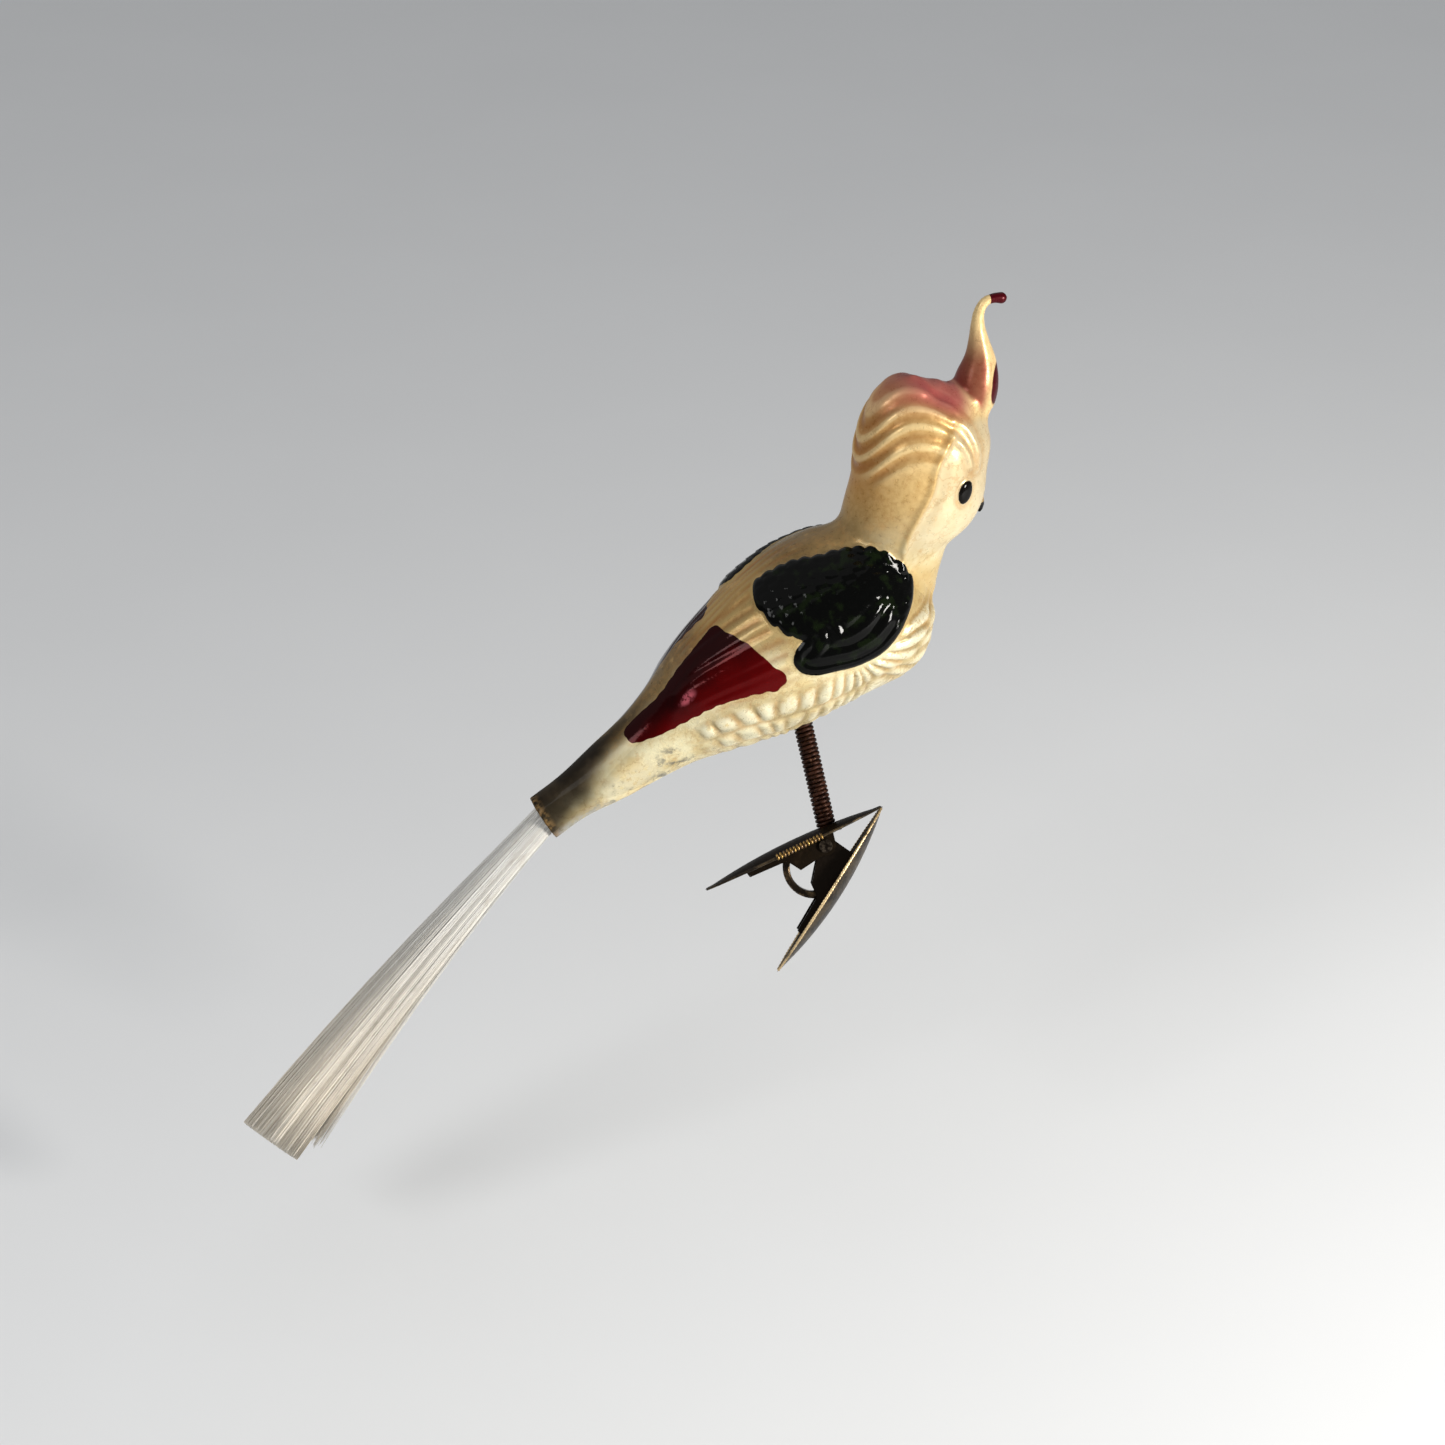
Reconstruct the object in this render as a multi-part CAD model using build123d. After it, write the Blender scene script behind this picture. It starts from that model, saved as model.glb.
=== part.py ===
from build123d import *

import math
import os

# A blown-glass cockatoo on a coil-spring leg with a sprung clip, in millimetres.
#
# Frame: +X is forward, where the beak points, +Y is the bird's left and +Z is up.
# The origin is the grip point, between the tips of the clip's two jaws.
#
# The leg and the clip share one upright plane of their own, the side plane. The soft coil has taken
# a set, so this plane is turned and leaned away from the bird's own middle plane.

# ---------------------------------------------------------------- driving dimensions

# the side plane: which way its normal points
SIDE_TURN = -18.0  # degrees about +Z, from -Y
SIDE_RISE = 29.4  # degrees above the horizontal

# clip jaws: each is a shallow dished leaf of tin plate
JAW_LENGTH = 29.4
JAW_HALF_WIDTH = 5.5
UPPER_JAW_DEPTH = 1.2
LOWER_JAW_DEPTH = 1.9
SHEET = 0.35
TIP_GAP = 0.15  # from the grip point to each jaw's tip
UPPER_JAW_ANGLE = 205.4  # degrees, from the grip point to the handle's end, in the side plane
LOWER_JAW_ANGLE = 237.5

# the hinge pin and the ears that it runs through
PIN_AT = (-8.70, -5.93)  # in the side plane
PIN_RADIUS = 0.60
PIN_FIT = 0.04
PIN_HEAD_RADIUS = 1.0
PIN_HEAD = 0.35
EAR_GAP = 0.12
UPPER_EAR_OUTSIDE = 3.50
LOWER_EAR_OUTSIDE = UPPER_EAR_OUTSIDE - SHEET - EAR_GAP
EAR_NOSE = 1.45  # radius of the ear round the pin

# ears in each jaw's own plane: along the jaw from the grip point, and inward from its rim
UPPER_EAR = [(23.3, -2.2), (22.6, 1.0), (16.6, 1.2), (15.3, 3.3), (9.0, 2.4), (8.0, -2.2)]
LOWER_EAR = [(23.3, -2.2), (22.6, 0.9), (16.8, 1.1), (15.7, 2.8), (11.0, 4.6), (8.3, 4.4), (8.6, -2.2)]

# the clip's spring: a steel strip bent in a C, with an arm along each jaw
STRIP_WIDTH = 3.6
STRIP = 0.75
STRIP_INSET = -0.25  # from the jaws' rims to the middle of the strip
STRIP_BEND = 4.1
STRIP_ARM = 2.0

# the leg: a close-wound coil of steel wire
LEG_FOOT = (-8.25, -4.15)  # its lower end, in the side plane
LEG_TILT = 13.0  # degrees from upright in the side plane, backward
WIRE = 0.58
COIL_RADIUS = 1.20  # to the middle of the wire
COIL_PITCH = 0.65
LOWER_TURNS = 13
MIDDLE_TURNS = 8
UPPER_TURNS = 13
TURN_GAP = 0.1  # share of a turn left open between two stretches
LEG_HOLE_FIT = 0.06
LEG_HOLE_SPAN = (-1.0, 4.0)  # the clip's bore for the coil: its start along the leg, and its length

# where the leg enters the belly, along the leg from its lower end
LEG_TO_BELLY = 18.7
BELLY_HOLE_SPAN = (-4.0, 8.0)  # the hole in the glass: its start from there, and its length

# the glass body: stations along its own axis, from the cut end of the tail tube
BODY_RISE = 28.75  # degrees, how far its axis points above the horizontal
BELLY_STATION = 40.6  # where the leg enters
BELLY_DROP = 9.6  # from the body's axis down to that point
BODY_NARROWING = 0.95  # half width over half height
WALL = 0.6
PAST_MOUTH = 1.0  # how far the hollow's tool runs out of the tube, to open it
# (station, middle above the axis, half height)
BODY = [
    (0.0, 0.0, 3.60),
    (5.0, 0.3, 3.65),
    (12.3, 0.5, 4.75),
    (17.6, 0.8, 5.45),
    (23.0, 1.4, 6.65),
    (30.0, 2.2, 9.25),
    (37.2, 2.3, 11.35),
    (44.3, 2.6, 12.65),
    (51.4, 2.3, 13.15),
    (56.1, 1.5, 13.10),
    (60.0, 1.0, 12.00),
    (63.2, 0.5, 9.40),
    (65.2, 0.2, 6.00),
]
BREAST_END = 66.4

# the head: level sections, from inside the body up to the crown of the hood
HEAD_NARROWING = 0.82
# (height, middle, half length fore and aft)
HEAD = [
    (26.5, 4.2, 5.0),
    (31.0, 4.2, 6.6),
    (35.6, 3.9, 7.9),
    (39.0, 4.2, 8.8),
    (41.9, 6.2, 10.0),
    (44.8, 7.3, 10.4),
    (49.5, 8.1, 10.1),
    (54.0, 8.3, 9.9),
    (57.4, 8.1, 9.0),
    (60.3, 7.6, 7.4),
    (62.6, 7.0, 5.2),
    (64.1, 6.7, 2.8),
]
CROWN = (64.7, 6.6)

# the crest: a drawn-out horn with a small bead at its tip, as (height, middle, radius)
HORN = [
    (55.0, 13.6, 2.6),
    (59.4, 15.7, 3.0),
    (62.5, 16.4, 2.8),
    (65.6, 17.0, 2.2),
    (68.7, 16.5, 1.45),
    (71.6, 16.3, 0.95),
    (72.9, 16.5, 0.8),
]
HORN_TIP_BEND = 1.8
HORN_TIP_REACH = 1.6  # the straight stretch after the bend
BEAD_RADIUS = 0.85

# the beak: a small hooked point on the face
BEAK_ROOT = (43.6, 15.4)
BEAK_TIP = (42.1, 18.4)
BEAK_ROOT_RADIUS = 2.0
BEAK_TIP_RADIUS = 0.45

# the tail brush: a bundle of spun glass that leaves the tube at an angle
BRUSH_DROOP = 47.9  # degrees below the horizontal
BRUSH_LENGTH = 64.5  # outside the tube
BRUSH_IN_TUBE = 3.6
BRUSH_ROOT_DROP = 0.4  # from the tube's axis, at its mouth
BRUSH_ROOT_RADIUS = 2.10
BRUSH_END_RADIUS = 5.40
BRUSH_BOW = 0.8  # how far its middle stands above the straight line
BRUSH_STRETCHES = 4  # sections between the tube's mouth and the cut end

# the plugs
TAIL_GLUE = (0.6, 5.2)  # stations
PLASTER_RADIUS = 2.4
PLASTER_LENGTH = 6.2
PLASTER_SET_BACK = 0.6  # how far inside the belly the plug starts
PLASTER_BORE_PAST_COIL = 1.2
PLUG_FIT = 0.02
SOLDER_RADIUS = 2.2
SOLDER_SPAN = (0.15, 1.6)  # along the leg, the start and the length before the dish trims it

# the solid barrel that each jaw's dish is cut from is larger than the jaw by these
BARREL_LENGTH_RATIO = 1.6
BARREL_MARGIN = 2.0

# ---------------------------------------------------------------- directions and planes


def turn_and_rise(turn, rise):
    """The direction that starts along -Y, turns about +Z and then rises."""
    a = math.radians(turn)
    e = math.radians(rise)
    return Vector(math.sin(a) * math.cos(e), -math.cos(a) * math.cos(e), math.sin(e))


def along(angle, length=1.0):
    """A step of this length in the side plane, at this angle from forward."""
    a = math.radians(angle)
    return Vector(length * math.cos(a), length * math.sin(a))


side_normal = turn_and_rise(SIDE_TURN, SIDE_RISE)
side_forward = Vector(math.cos(math.radians(SIDE_TURN)), math.sin(math.radians(SIDE_TURN)), 0)
SIDE = Plane(origin=(0, 0, 0), x_dir=side_forward, z_dir=side_normal)

leg_up = Vector(-math.sin(math.radians(LEG_TILT)), math.cos(math.radians(LEG_TILT)))
leg_foot = SIDE.from_local_coords(Vector(*LEG_FOOT))
leg_direction = SIDE.from_local_coords(leg_up) - SIDE.origin
LEG = Plane(origin=leg_foot, x_dir=side_normal, z_dir=leg_direction)

belly = leg_foot + leg_direction * LEG_TO_BELLY
rise = math.radians(BODY_RISE)
body_forward = Vector(math.cos(rise), 0, math.sin(rise))
body_up = Vector(-math.sin(rise), 0, math.cos(rise))
tube_mouth = belly - body_forward * BELLY_STATION + body_up * BELLY_DROP
MIDDLE_Y = belly.Y


def body_plane(station, height=0.0):
    """A plane across the body at this station, with its x up and its normal forward."""
    origin = tube_mouth + body_forward * station + body_up * height
    return Plane(origin=origin, x_dir=body_up, z_dir=body_forward)


def level_plane(height, forward):
    """A level plane on the bird's middle plane."""
    return Plane(origin=(forward, MIDDLE_Y, height), x_dir=(1, 0, 0), z_dir=(0, 0, 1))


# ---------------------------------------------------------------- the glass body


def body_solid(inset, past_mouth=0.0):
    """The body and tail tube, with every section smaller by inset and the tube longer by past_mouth."""
    sections = []
    mouth_middle, mouth_half = BODY[0][1:]
    stations = [(-past_mouth, mouth_middle, mouth_half), *BODY[1:]]
    for station, middle, half in stations:
        oval = Ellipse(half - inset, half * BODY_NARROWING - inset)
        sections.append((body_plane(station, middle) * oval).face())
    end = body_plane(BREAST_END - inset, BODY[-1][1]).origin
    return loft([*sections, Vertex(end)])


def head_solid(inset):
    """The neck, face and hood, with every section smaller by inset."""
    sections = []
    for height, middle, half in HEAD:
        oval = Ellipse(half - inset, half * HEAD_NARROWING - inset)
        sections.append((level_plane(height, middle) * oval).face())
    crown = Vertex(CROWN[1], MIDDLE_Y, CROWN[0] - inset)
    return loft([*sections, crown])


def horn_solid():
    """The crest horn, curled forward into a bead."""
    sections = [level_plane(height, middle) * Circle(radius) for height, middle, radius in HORN]
    horn = loft([section.face() for section in sections])
    top, middle, radius = HORN[-1]
    start = Vector(middle, MIDDLE_Y, top)
    bend = CenterArc((HORN_TIP_BEND, 0), HORN_TIP_BEND, 180, -90)
    reach = Line(bend @ 1, (bend @ 1) + Vector(HORN_TIP_REACH, 0))
    path = Plane(origin=start, x_dir=(1, 0, 0), z_dir=(0, -1, 0)) * Wire([bend, reach])
    curl = sweep(level_plane(top, middle) * Circle(radius), path=path)
    bead = Pos(*(path @ 1)) * Sphere(BEAD_RADIUS)
    return horn + curl + bead


def beak_solid():
    """The beak, a short cone from the face to its hooked tip."""
    root = Vector(BEAK_ROOT[1], MIDDLE_Y, BEAK_ROOT[0])
    tip = Vector(BEAK_TIP[1], MIDDLE_Y, BEAK_TIP[0])
    length = (tip - root).length
    place = Plane(origin=(root + tip) / 2, z_dir=tip - root)
    cone = place * Cone(BEAK_ROOT_RADIUS, BEAK_TIP_RADIUS, length)
    return cone + Pos(*tip) * Sphere(BEAK_TIP_RADIUS)


def leg_rod(radius, start, length):
    """A round rod on the leg's axis, from start up."""
    circle = LEG.offset(start) * Circle(radius)
    return extrude(circle, amount=length, dir=leg_direction)


def glass_body():
    """The blown shell: body, tail tube, head, horn and beak, open at the belly and the tube."""
    outer = body_solid(0) + head_solid(0)
    inner = body_solid(WALL, PAST_MOUTH) + head_solid(WALL)
    hole_start, hole_length = BELLY_HOLE_SPAN
    leg_hole = leg_rod(PLASTER_RADIUS + PLUG_FIT, LEG_TO_BELLY + hole_start, hole_length)
    crest = horn_solid() - inner
    beak = beak_solid() - inner
    return (outer - inner) + crest + beak - leg_hole


# ---------------------------------------------------------------- tail


def brush_solid():
    """The fibre bundle, as one solid cone with a slight bow, from inside the tube to its cut end."""
    droop = math.radians(BRUSH_DROOP)
    direction = Vector(-math.cos(droop), 0, -math.sin(droop))
    upward = Vector(-math.sin(droop), 0, math.cos(droop))
    root = tube_mouth - body_up * BRUSH_ROOT_DROP
    sections = []
    shares = [step / BRUSH_STRETCHES for step in range(BRUSH_STRETCHES + 1)]
    for share in [-BRUSH_IN_TUBE / BRUSH_LENGTH, *shares]:
        bow = 4 * BRUSH_BOW * share * (1 - share)
        slope = 4 * BRUSH_BOW * (1 - 2 * share) / BRUSH_LENGTH
        middle = root + direction * BRUSH_LENGTH * share + upward * bow
        radius = BRUSH_ROOT_RADIUS + (BRUSH_END_RADIUS - BRUSH_ROOT_RADIUS) * share
        sections.append((Plane(origin=middle, z_dir=direction + upward * slope) * Circle(radius)).face())
    return loft(sections)


def tail_glue(brush):
    """The plug of glue that holds the fibres in the tube."""
    start, end = TAIL_GLUE
    mouth_half = BODY[0][2]
    slab = extrude(body_plane(start) * Circle(2 * mouth_half), amount=end - start)
    return (body_solid(WALL + PLUG_FIT, PAST_MOUTH) & slab) - brush


# ---------------------------------------------------------------- leg


def coil(first_turn, turns):
    """One stretch of the leg's coil, from this turn up."""
    start = COIL_PITCH * first_turn + WIRE / 2
    helix = Helix(COIL_PITCH, COIL_PITCH * (turns - TURN_GAP), COIL_RADIUS)
    section = Plane(origin=helix @ 0, z_dir=helix % 0) * Circle(WIRE / 2)
    return LEG.offset(start).location * sweep(section, path=helix, is_frenet=True)


def leg_plaster():
    """The plaster plug in the belly, round the top of the coil."""
    plug = leg_rod(PLASTER_RADIUS, LEG_TO_BELLY + PLASTER_SET_BACK, PLASTER_LENGTH)
    coil_length = COIL_PITCH * (LOWER_TURNS + MIDDLE_TURNS + UPPER_TURNS)
    bore_length = coil_length + PLASTER_BORE_PAST_COIL
    return plug - leg_rod(COIL_RADIUS + WIRE / 2 + LEG_HOLE_FIT, 0, bore_length)


def leg_solder():
    """The ring of solder inside the upper jaw's dish, round the coil's lowest turns."""
    ring = leg_rod(SOLDER_RADIUS, *SOLDER_SPAN)
    ring = ring - leg_rod(COIL_RADIUS + WIRE / 2 + LEG_HOLE_FIT, *LEG_HOLE_SPAN)
    return ring & (UPPER.location * barrel(UPPER_JAW_DEPTH, SHEET + PLUG_FIT))


# ---------------------------------------------------------------- clip


def jaw_plane(angle, inward_sign):
    """A jaw's own plane in the side plane: x towards the handle, y inward from the rim."""
    x_dir = SIDE.from_local_coords(along(angle))
    z_dir = side_normal * inward_sign
    return Plane(origin=(0, 0, 0), x_dir=x_dir, z_dir=z_dir)


UPPER = jaw_plane(UPPER_JAW_ANGLE, 1)
LOWER = jaw_plane(LOWER_JAW_ANGLE, -1)


def barrel(depth, inset):
    """The barrel that a jaw's dish is cut from: an arc turned about a line inside the clip."""
    across = (depth**2 + JAW_HALF_WIDTH**2) / (2 * depth)
    half = JAW_LENGTH / 2
    bend = (depth**2 + half**2) / (2 * depth)
    centre_x = TIP_GAP + half
    axis_y = across - depth
    circle = Pos(centre_x, bend - depth) * Circle(bend - inset)
    height = across + BARREL_MARGIN
    below_axis = Pos(centre_x, axis_y - height / 2) * Rectangle(JAW_LENGTH * BARREL_LENGTH_RATIO, height)
    profile = circle & below_axis
    return revolve(profile, axis=Axis((0, axis_y, 0), (1, 0, 0)))


def ear_plates(outline, outside, pin_centre):
    """A pair of upright ears, with the round nose of each about the pin."""
    outline_face = Polygon(*outline, align=None) + Pos(*pin_centre) * Circle(EAR_NOSE)
    plates = Pos(0, 0, outside - SHEET) * extrude(outline_face, amount=SHEET)
    return plates + mirror(plates, about=Plane.XY)


def jaw(plane, depth, outline, outside, pin_radius):
    """One jaw: its dish and its two ears, in its place."""
    pin_centre = plane.to_local_coords(SIDE.from_local_coords(Vector(*PIN_AT)))
    pin_xy = (pin_centre.X, pin_centre.Y)
    room = 2 * JAW_LENGTH  # more than the jaw reaches in any direction
    outward = Pos(0, -room / 2, 0) * Box(room * 2, room, room)
    inward = Pos(0, room / 2, 0) * Box(room * 2, room, room)
    full = barrel(depth, 0)
    dish = (full - barrel(depth, SHEET)) & outward
    ears = ear_plates(outline, outside, pin_xy)
    ears = (ears & inward) + (ears & outward & full)
    hole = Pos(pin_xy[0], pin_xy[1], 0) * Cylinder(pin_radius, room)
    return plane.location * (dish + ears - hole)


def upper_jaw():
    """The jaw that the leg stands on, with the hole that the coil passes through."""
    whole = jaw(UPPER, UPPER_JAW_DEPTH, UPPER_EAR, UPPER_EAR_OUTSIDE, PIN_RADIUS + PLUG_FIT)
    return whole - leg_rod(COIL_RADIUS + WIRE / 2 + LEG_HOLE_FIT, *LEG_HOLE_SPAN)


def lower_jaw():
    """The jaw that opens."""
    return jaw(LOWER, LOWER_JAW_DEPTH, LOWER_EAR, LOWER_EAR_OUTSIDE, PIN_RADIUS + PIN_FIT)


def pivot_pin():
    """The hinge pin, headed outside the upper jaw's ears."""
    half = UPPER_EAR_OUTSIDE + PLUG_FIT
    shaft = Cylinder(PIN_RADIUS, 2 * half + PIN_HEAD)
    head = Pos(0, 0, half + PIN_HEAD / 2) * Cylinder(PIN_HEAD_RADIUS, PIN_HEAD)
    pin = shaft + head + mirror(head, about=Plane.XY)
    return SIDE.location * (Pos(PIN_AT[0], PIN_AT[1], 0) * pin)


def clip_spring():
    """The C-shaped strip that pushes the handles apart, as one ribbon of even thickness."""
    middle_angle = (UPPER_JAW_ANGLE + LOWER_JAW_ANGLE) / 2
    half_angle = math.radians(LOWER_JAW_ANGLE - UPPER_JAW_ANGLE) / 2
    # both arms run parallel to their jaws, so they would meet this far past the grip point
    beyond = -STRIP_INSET / math.sin(half_angle)
    centre = along(middle_angle, STRIP_BEND / math.sin(half_angle) - beyond)
    sweep_angle = 180 + math.degrees(2 * half_angle)
    start_angle = middle_angle - sweep_angle / 2
    bend = CenterArc(centre, STRIP_BEND, start_angle, sweep_angle)
    upper_arm = Line((bend @ 0) - (bend % 0) * STRIP_ARM, bend @ 0)
    lower_arm = Line(bend @ 1, (bend @ 1) + (bend % 1) * STRIP_ARM)
    middle_line = Wire([upper_arm, bend, lower_arm])
    ends = Plane(origin=middle_line @ 0, x_dir=(0, 0, 1), z_dir=middle_line % 0)
    ribbon = sweep(ends * Rectangle(STRIP_WIDTH, STRIP), path=middle_line)
    return SIDE.location * ribbon


# ---------------------------------------------------------------- build

brush = brush_solid()
first_middle = LOWER_TURNS
first_upper = LOWER_TURNS + MIDDLE_TURNS

nodes = {
    "glass_body": glass_body(),
    "tail_brush": brush,
    "tail_glue": tail_glue(brush),
    "leg_plaster": leg_plaster(),
    "leg_coil_lower": coil(0, LOWER_TURNS),
    "leg_coil_middle": coil(first_middle, MIDDLE_TURNS),
    "leg_coil_upper": coil(first_upper, UPPER_TURNS),
    "leg_solder": leg_solder(),
    "clip_upper_jaw": upper_jaw(),
    "clip_lower_jaw": lower_jaw(),
    "clip_pivot_pin": pivot_pin(),
    "clip_spring": clip_spring(),
}

os.makedirs("parts", exist_ok=True)
for name, shape in nodes.items():
    export_step(shape, f"parts/{name}.step")
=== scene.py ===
"""The looks of a blown-glass clip-on cockatoo ornament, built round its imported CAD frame.

Shapes are worked out in millimetres in the frame's own axes, and turned into metres as meshes are made.
"""

import math
from functools import cache

import bpy
import numpy as np
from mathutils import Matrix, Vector


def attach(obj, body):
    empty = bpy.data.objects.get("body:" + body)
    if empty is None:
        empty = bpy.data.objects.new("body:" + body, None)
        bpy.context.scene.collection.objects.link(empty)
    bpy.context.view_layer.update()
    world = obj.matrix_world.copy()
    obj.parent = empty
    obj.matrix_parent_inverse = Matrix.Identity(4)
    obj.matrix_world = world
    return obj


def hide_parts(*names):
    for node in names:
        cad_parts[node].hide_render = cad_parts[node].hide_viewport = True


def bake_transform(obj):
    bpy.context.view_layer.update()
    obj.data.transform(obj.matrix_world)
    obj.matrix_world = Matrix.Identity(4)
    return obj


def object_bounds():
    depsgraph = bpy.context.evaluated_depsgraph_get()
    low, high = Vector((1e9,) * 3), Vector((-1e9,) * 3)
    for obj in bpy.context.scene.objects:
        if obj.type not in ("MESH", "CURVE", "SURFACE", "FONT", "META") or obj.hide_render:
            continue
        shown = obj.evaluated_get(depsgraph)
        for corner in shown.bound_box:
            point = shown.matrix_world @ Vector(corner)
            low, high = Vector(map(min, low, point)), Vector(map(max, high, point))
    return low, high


MM = 0.001

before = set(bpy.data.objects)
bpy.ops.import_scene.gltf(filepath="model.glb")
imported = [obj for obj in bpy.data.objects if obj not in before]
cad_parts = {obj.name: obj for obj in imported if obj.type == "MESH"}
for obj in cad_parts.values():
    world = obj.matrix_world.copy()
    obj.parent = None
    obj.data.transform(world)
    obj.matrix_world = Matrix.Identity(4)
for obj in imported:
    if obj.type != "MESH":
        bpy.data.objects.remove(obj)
cad_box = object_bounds()

# ------------------------ driving dimensions, in the CAD source's names

SIDE_TURN = -18.0
SIDE_RISE = 29.4
UPPER_JAW_ANGLE = 205.4
LOWER_JAW_ANGLE = 237.5
JAW_LENGTH = 29.4
JAW_HALF_WIDTH = 5.5
UPPER_JAW_DEPTH = 1.2
LOWER_JAW_DEPTH = 1.9
TIP_GAP = 0.15
LEG_FOOT = (-8.25, -4.15)
LEG_TILT = 13.0
LEG_TO_BELLY = 18.7
WIRE = 0.58
COIL_RADIUS = 1.20
COIL_PITCH = 0.65
COIL_TURNS = 34
BODY_RISE = 28.75
BELLY_STATION = 40.6
BELLY_DROP = 9.6
STRIP_WIDTH = 3.6
STRIP = 0.75
STRIP_INSET = -0.25
STRIP_BEND = 4.1
STRIP_ARM = 2.0
BRUSH_DROOP = 47.9
BRUSH_LENGTH = 64.5
BRUSH_IN_TUBE = 3.0  # the fibres start a little nearer the mouth than the CAD cone
BRUSH_ROOT_DROP = 0.4
BRUSH_ROOT_RADIUS = 2.10
BRUSH_END_RADIUS = 5.40
BRUSH_BOW = 0.8

# the glass, from the cut end of the tail tube: station, middle above the axis, half height
BODY = np.array([
    (0.0, 0.0, 3.60), (5.0, 0.3, 3.65), (12.3, 0.5, 4.75), (17.6, 0.8, 5.45), (23.0, 1.4, 6.65),
    (30.0, 2.2, 9.25), (37.2, 2.3, 11.35), (44.3, 2.6, 12.65), (51.4, 2.3, 13.15), (56.1, 1.5, 13.10),
    (60.0, 1.0, 12.00), (63.2, 0.5, 9.40), (65.2, 0.2, 6.00), (66.4, 0.2, 0.30),
])
BODY_NARROWING = 0.95
BREAST_END = 66.4
WALL = 0.6
MOUTH_DEPTH = 4.0

# the head and hood: height, middle, half length fore and aft
HEAD = np.array([
    (26.5, 4.2, 5.0), (31.0, 4.2, 6.6), (35.6, 3.9, 7.9), (39.0, 4.2, 8.8), (41.9, 6.2, 10.0),
    (44.8, 7.3, 10.4), (49.5, 8.1, 10.1), (54.0, 8.3, 9.9), (57.4, 8.1, 9.0), (60.3, 7.6, 7.4),
    (62.6, 7.0, 5.2), (64.1, 6.7, 2.8), (64.7, 6.6, 0.3),
])
HEAD_NARROWING = 0.82

# the crest horn, up to the bead at its curled tip: forward, height, radius
HORN = np.array([
    (11.6, 52.0, 2.4), (13.6, 56.0, 2.9), (15.7, 59.4, 3.0), (16.5, 62.5, 2.75), (16.9, 65.6, 2.15),
    (16.6, 68.7, 1.45), (16.35, 71.2, 1.0), (16.5, 73.0, 0.80), (17.3, 74.4, 0.70), (18.7, 74.8, 0.72),
    (19.8, 74.7, 0.85),
])
BEAD_RADIUS = 0.85
KNURL_SPAN = (10.4, 17.8)  # from the grip point, along the upper jaw
KNURL_PITCH = 0.55
HORN_BEND_HEIGHT = 73.2
RED_SPOT_HEIGHT = 62.4  # a spot of red on the horn's front
RED_SPOT_HALF = 3.1

# the beak: forward, height, radius, down to its hooked tip
BEAK = np.array([
    (14.6, 44.6, 2.6), (16.4, 44.2, 1.9), (17.5, 43.3, 1.15), (18.0, 42.3, 0.6), (17.95, 41.5, 0.30),
])
BEAK_DARK_FROM = (17.35, 43.3)  # forward of this, and below this height

# how finely things are made
SKIN_VOXEL = 0.29
FIBRES = 3900

# drawn thicker than the CAD has them, as the ornament shows them
WIRE_DRAWN = 1.06
STRIP_DRAWN = 1.4

# ------------------------ directions


def unit(v):
    """This vector at length 1."""
    v = np.asarray(v, float)
    return v / np.linalg.norm(v)


def turn_and_rise(turn, rise):
    """The direction that starts along -Y, turns about +Z and then rises."""
    a, e = math.radians(turn), math.radians(rise)
    return np.array([math.sin(a) * math.cos(e), -math.cos(a) * math.cos(e), math.sin(e)])


SIDE_NORMAL = turn_and_rise(SIDE_TURN, SIDE_RISE)
SIDE_FORWARD = np.array([math.cos(math.radians(SIDE_TURN)), math.sin(math.radians(SIDE_TURN)), 0.0])
SIDE_UP = np.cross(SIDE_NORMAL, SIDE_FORWARD)


def in_side_plane(forward, up, out=0.0):
    """The point of the clip's and leg's side plane at these distances."""
    return SIDE_FORWARD * forward + SIDE_UP * up + SIDE_NORMAL * out


def side_direction(angle):
    """The direction in the side plane at this angle from forward."""
    return in_side_plane(math.cos(math.radians(angle)), math.sin(math.radians(angle)))


LEG_UP = side_direction(90 + LEG_TILT)
LEG_START = in_side_plane(*LEG_FOOT)
BELLY = LEG_START + LEG_UP * LEG_TO_BELLY
FORWARD = np.array([math.cos(math.radians(BODY_RISE)), 0.0, math.sin(math.radians(BODY_RISE))])
UPWARD = np.array([-FORWARD[2], 0.0, FORWARD[0]])
LEFT = np.array([0.0, 1.0, 0.0])
MOUTH = BELLY - FORWARD * BELLY_STATION + UPWARD * BELLY_DROP
MIDDLE_Y = BELLY[1]

# ------------------------ numbers on points


def smooth(low, high, x):
    """0 below low, 1 above high, and a smooth step between them."""
    t = np.clip((x - low) / (high - low), 0.0, 1.0)
    return t * t * (3 - 2 * t)


def bump_of(x, width):
    """A smooth ridge of height 1 at x = 0."""
    return np.exp(-(x / width) ** 2)


def through(x, table, column):
    """The smooth curve through a table's rows, whose first column is x."""
    xs, ys = table[:, 0], table[:, column]
    slopes = np.gradient(ys, xs)
    i = np.clip(np.searchsorted(xs, x) - 1, 0, len(xs) - 2)
    step = xs[i + 1] - xs[i]
    u = np.clip((x - xs[i]) / step, 0.0, 1.0)
    start = (2 * u**3 - 3 * u**2 + 1) * ys[i] + (u**3 - 2 * u**2 + u) * step * slopes[i]
    end = (3 * u**2 - 2 * u**3) * ys[i + 1] + (u**3 - u**2) * step * slopes[i + 1]
    return start + end


def smooth_line(points, count, closed=False):
    """A smooth line of this many points through a few."""
    p = np.asarray(points, float)
    if closed:
        p = np.vstack([p[-2:], p, p[:2]])
    length = np.concatenate([[0.0], np.cumsum(np.linalg.norm(np.diff(p, axis=0), axis=1))])
    low, high = (length[2], length[-2]) if closed else (0.0, length[-1])
    at = np.linspace(low, high, count, endpoint=not closed)
    table = np.column_stack([length, p])
    return np.column_stack([through(at, table, c + 1) for c in range(p.shape[1])])


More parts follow.
